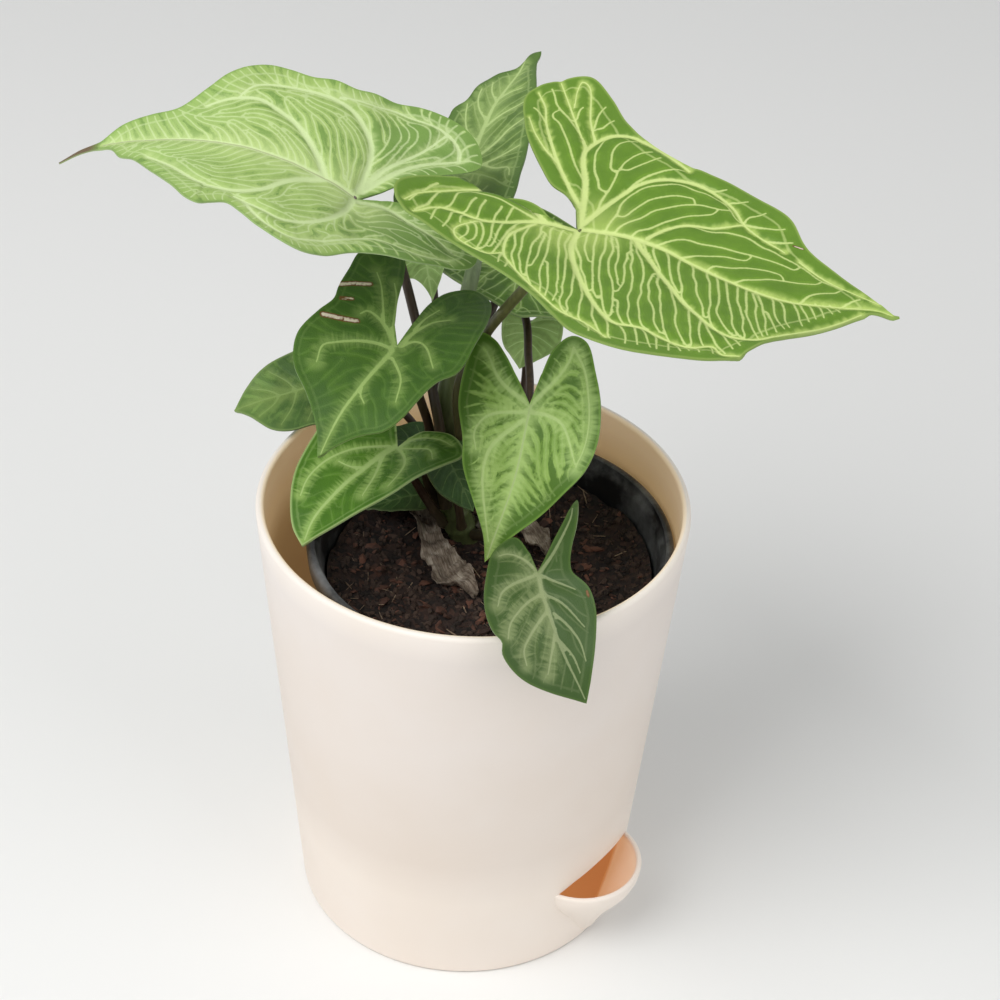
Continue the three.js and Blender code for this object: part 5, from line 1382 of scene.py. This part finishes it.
grow_leaf(
    "small_right", brown_skin, "stalk_brown", small_leaf_painted_lighter,
    at=(14, 38, 172), heading=256, pitch=-52, roll=-10, length=16,
    **SMALL_BLADE,
    left=[(-2.4, 2.4), (-4.2, 6), (-2, 8.8), (2.4, 9.6), (6, 8.8), (9, 5.6)],
    right=[(-2.4, -2.4), (-4.2, -5.4), (-1, -7.4), (3, -7.6), (7.4, -6.4), (10.4, -3.6)],
    tip=[(13.6, -0.6)],
    foot=(-10, 113), radii=(1.2, 0.9),
    route=[(7, 25.5, 122), (11.6, 34.5, 136), (13.2, 41, 149), (13.6, 43.4, 162), (14.4, 42.6, 168)])

# A leaf half hidden below the large bright one.
shaded_bright_leaf = {
    "name": "Shaded bright green leaf skin", "green": "#739A3C", "dark": "#628832",
    "vein": "#C2D890", "flush": "#9ABA5C", "glow": "#A3C167", "flush_to": 3, "flush_amount": 0.5,
    "halo_amount": 0.6, "veinlet_amount": 0.6, "cell": "#4F7228", "cell_amount": 0.7, "ring": 2.4,
    "ring_amount": 0.5,
}

grow_leaf(
    "under_right", brown_skin, "stalk_brown", shaded_bright_leaf,
    at=(8, 51, 183.7), heading=350, pitch=-8, roll=0, length=46,
    fold=8, droop=20, wave=0.4, waves=4,
    left=[(-5, 4), (-12, 9), (-18, 15), (-16, 22), (-6, 25.5), (6, 25), (18, 20.5), (30, 13), (40, 5)],
    right=[(-5, -4), (-12, -8), (-17.5, -12), (-14, -17.5), (-8, -23.5), (0, -27.4), (7.4, -32),
          (11.6, -29.6), (17, -26.4), (27, -19), (38, -8)],
    tip=[(46, -1)],
    foot=(65, 124), radii=(1.3, 1),
    route=[(-3.6, 30, 142), (-1, 37.6, 160), (4.4, 46.6, 173), (7.4, 50.4, 179)])

# A small leaf behind the brown stalks, in the same colours painted lighter than a leaf's own.
grow_leaf(
    "small_back", brown_skin, "stalk_brown", dict(small_leaf_painted_lighter, name="Small back leaf skin"),
    at=(-16.6, 39, 196), heading=280, pitch=-72, roll=0, length=19,
    **SMALL_BLADE,
    left=[(-3, 2), (-7, 4.6), (-6, 7), (0, 7.4), (7, 6), (12, 4.6)],
    right=[(-3, -2.4), (-7, -5), (-6, -8), (0, -9), (5, -8.6), (9.4, -6.4), (10.4, -2.4), (13.4, 0.6)],
    tip=[(17.6, 2.8)],
    foot=(110, 126), radii=(1.1, 0.9),
    route=[(-10, 31.4, 142), (-11.8, 38, 160), (-13.2, 44, 178), (-15.4, 43.6, 190)])

# Three small dark leaves near the stem.
inner_dark_leaf = {
    "name": "Dark green inner leaf skin", "green": "#3A5A2C", "dark": "#304E25", "vein": "#5C7744",
    "flush": "#4A6936", "glow": "#486634", "flush_to": 2, "flush_amount": 0.4, "seat_flush": 3,
    "halo": 2, "halo_amount": 0.4, "veinlet_amount": 0.1, "cell": "#2E4A24", "cell_amount": 0.3,
    "ring": 1.2, "ring_amount": 0.1,
}

grow_leaf(
    "inner_front", brown_skin, "stalk_brown", inner_dark_leaf,
    at=(-8, 10, 145), heading=312, pitch=-45, roll=0, length=18,
    **SMALL_BLADE,
    left=[(-2.2, 1.8), (-3, 4.6), (0, 7.2), (4, 7.6), (9, 6.4), (13.4, 4.2)],
    right=[(-2.2, -1.8), (-4, -6), (0, -8.8), (5, -8.6), (9.4, -6.8), (13.4, -3)],
    tip=[(17.4, 1.4)],
    foot=(-75, 116), radii=(1.2, 0.9),
    route=[(-4.6, 12.2, 127), (-7.4, 11.6, 138)])

grow_leaf(
    "inner_left", brown_skin, "stalk_brown", inner_dark_leaf,
    at=(-14, 29, 117.4), heading=196, pitch=-2, roll=0, length=18,
    **dict(SMALL_BLADE, fold=6, droop=12),
    left=[(-2.4, 2.4), (-4, 5.4), (0, 7.4), (5, 7.2), (10, 5.4), (14.4, 2.6)],
    right=[(-2.4, -2.4), (-4, -5.6), (0, -7.8), (6, -7.8), (11, -5.6), (15, -2.6)],
    tip=[(18, 0)],
    foot=(150, 113.4), radii=(1.1, 0.9),
    route=[(-12.4, 27, 114.6)])

grow_leaf(
    "inner_back", brown_skin, "stalk_brown", inner_dark_leaf,
    at=(-14, 30, 133.5), heading=165, pitch=5, roll=0, length=22,
    **SMALL_BLADE,
    left=[(-2.4, 2.4), (-4, 5.6), (0, 8), (6, 7.6), (12, 5.6), (18, 2.6)],
    right=[(-2.4, -2.4), (-4, -6.2), (1, -8.8), (6, -8.6), (10.4, -6), (17, -2.6)],
    tip=[(22, 0)],
    foot=(130, 120), radii=(1.1, 0.9),
    route=[(-11.2, 28.6, 127.5)])

# ---- withered leaves -------------------------------------------------------------------------
# Two dead leaves that lie on the soil, dried to a grey-beige paper with brown fibres showing,
# curled up along both edges and crumpled.

paper, tree, shader = new_material("Dried leaf paper", Roughness=0.85)
flat = add_node(tree, "Attribute", attribute_name="flat").outputs["Vector"]
longwise = add_node(tree, "VectorMath", {0: flat, 1: (0.16, 1.5, 1)}, operation="MULTIPLY")
fibres = add_node(tree, "TexNoise", {"Vector": longwise, "Scale": 1.4, "Detail": 5, "Roughness": 0.7})
stains = add_node(tree, "TexNoise", {"Vector": flat, "Scale": 0.22, "Detail": 4})
tone = add_node(tree, "Math", {0: stains, 1: 0.9, 2: fibres}, operation="MULTIPLY_ADD")
tone = add_node(tree, "MapRange", {0: tone, 1: 0.65, 2: 1.25})
dried = add_node(tree, "ValToRGB", {0: tone}, stops=[
    (0, "#3A2E25"), (0.35, "#6E6052"), (0.65, "#9C8F80"), (1, "#C9BFB0")])
tree.links.new(dried.outputs[0], shader.inputs["Base Color"])
bump = add_node(tree, "Bump", {"Strength": 0.8, "Distance": 0.0006, "Height": fibres})
tree.links.new(bump.outputs[0], shader.inputs["Normal"])


PAPER_THICKNESS = 0.45
PAPER_LIFT = 1.4
PAPER_COLUMNS = 21


def dried_leaf(name, middle, half_widths, curl, crumple, seed):
    """A crumpled strip on the soil along the middle line, with its long edges curled up."""
    line = smooth_line([(*p, w) for p, w in zip(middle, half_widths)], 0.5)
    along = np.gradient(line[:, :2], axis=0)
    along /= np.linalg.norm(along, axis=1)[:, None]
    points, flat_points = [], []
    for i, (spot, ahead) in enumerate(zip(line, along)):
        share = i / (len(line) - 1)
        for k in range(PAPER_COLUMNS):
            across = 2 * k / (PAPER_COLUMNS - 1) - 1
            ragged = 1 + 0.35 * noise.noise(Vector((0.09 * i, 9.0 * (across > 0), seed)))
            half = max(spot[2], 0.5) * ragged
            x = spot[0] - ahead[1] * half * across
            y = spot[1] + ahead[0] * half * across
            rise = curl * across ** 2 * (0.7 + 0.3 * math.sin(3 * share * math.pi + across))
            fold = crumple * noise.fractal(Vector((0.22 * x, 0.22 * y, seed)), 0.8, 2.2, 4)
            shift = 5 * noise.noise(Vector((0.2 * x, 0.2 * y, seed + 9)))
            pleat = 0.3 * math.sin(1.3 * half * across + shift)
            points.append((x, y, soil_height(x, y) + PAPER_LIFT + rise + fold + pleat))
            flat_points.append((0.5 * i, half * across, 0))
    points = np.array(points)
    grid = np.arange(len(points)).reshape(-1, PAPER_COLUMNS)
    quads = [(int(grid[i, k]), int(grid[i + 1, k]), int(grid[i + 1, k + 1]), int(grid[i, k + 1]))
             for i in range(len(line) - 1) for k in range(PAPER_COLUMNS - 1)]
    count = len(points)
    down = points - (0, 0, PAPER_THICKNESS)
    faces = quads + [tuple(v + count for v in q[::-1]) for q in quads]
    rim = [*grid[:, 0], *grid[-1, 1:], *grid[::-1, -1][1:], *grid[0, ::-1][1:-1]]
    for a, b in zip(rim, rim[1:] + rim[:1]):
        faces.append((int(b), int(a), int(a) + count, int(b) + count))
    piece = make_piece("dried_leaf_" + name, np.vstack([points, down]), faces, paper, "withered_leaf",
                       "withered_leaf_" + name, angle=60)
    piece.data.attributes.new("flat", "FLOAT_VECTOR", "POINT").data.foreach_set(
        "vector", np.array(flat_points * 2, np.float32).ravel())


dried_leaf("long", [(-15.5, 34.5), (-14.4, 27), (-12.4, 18), (-9, 8), (-5, 0), (1.5, -8)],
           [2.6, 3.6, 3.4, 4.6, 5.2, 1.2], curl=2.6, crumple=1.4, seed=4)
dried_leaf("short", [(11.5, 28.5), (15, 24), (18.6, 18), (21.5, 11)], [1.6, 3.2, 3.4, 0.9],
           curl=2.2, crumple=1.2, seed=7)

# ---- pale floor, soft light and camera --------------------------------------------------------
# A plain pale floor that curves up far behind the pot, one large soft light above on the left, a
# weaker one on the right, and an even pale surround.

floor_material, tree, shader = new_material("Pale matt paint", Roughness=0.85)
shader.inputs["Base Color"].default_value = linear("#ECECEA")
FLOOR_FRONT = -1500
FLOOR_BEND = 1200
BEND_RADIUS = 700
FLOOR_TOP = 2200
FLOOR_SIDE = 2500
floor_profile = [(FLOOR_FRONT, 0), (FLOOR_BEND, 0)]
floor_profile += [(FLOOR_BEND + BEND_RADIUS * math.sin(math.radians(turn)),
                   BEND_RADIUS - BEND_RADIUS * math.cos(math.radians(turn))) for turn in range(10, 90, 10)]
floor_profile += [(FLOOR_BEND + BEND_RADIUS, BEND_RADIUS), (FLOOR_BEND + BEND_RADIUS, FLOOR_TOP)]
points = [(x, y, z) for y, z in floor_profile for x in (-FLOOR_SIDE, FLOOR_SIDE)]
faces = [(2 * i, 2 * i + 1, 2 * i + 3, 2 * i + 2) for i in range(len(floor_profile) - 1)]
floor = raw_object("floor", points, faces)
floor.data.materials.append(floor_material)
smoothed(floor.data)


def soft_light(name, place, aim, size, power):
    """A square area light, place and aim in millimetres."""
    light = bpy.data.lights.new(name, "AREA")
    light.size = size * MM
    light.energy = power
    lamp = bpy.data.objects.new(name, light)
    lamp.location = Vector(place) * MM
    lamp.rotation_euler = (Vector(aim) - Vector(place)).to_track_quat("-Z", "Y").to_euler()
    bpy.context.scene.collection.objects.link(lamp)


soft_light("window", (-600, -500, 1100), (0, 0, 120), 900, 12)
soft_light("fill", (800, -500, 700), (0, 0, 120), 900, 3)

world = bpy.data.worlds.new("surround")
world.use_nodes = True
world.node_tree.nodes["Background"].inputs["Color"].default_value = linear("#F4F5F7")
world.node_tree.nodes["Background"].inputs["Strength"].default_value = 0.5
bpy.context.scene.world = world
bpy.context.scene.view_settings.view_transform = "Standard"

CAMERA_PLACE = (0, -556.86, 562.15)
CAMERA_RIGHT = (0.999341, 0.012947, 0.033922)
CAMERA_UP = (-0.034828, 0.605880, 0.794793)
CAMERA_FORWARD = (0.010262, 0.795451, -0.605932)
lens = bpy.data.cameras.new("camera")
lens.sensor_width = 36
lens.lens = 91.44
lens.clip_start = 0.01
camera = bpy.data.objects.new("camera", lens)
axes = Matrix((CAMERA_RIGHT, CAMERA_UP, [-c for c in CAMERA_FORWARD])).transposed()
camera.matrix_world = Matrix.Translation(Vector(CAMERA_PLACE) * MM) @ axes.to_4x4()
bpy.context.scene.collection.objects.link(camera)
bpy.context.scene.camera = camera
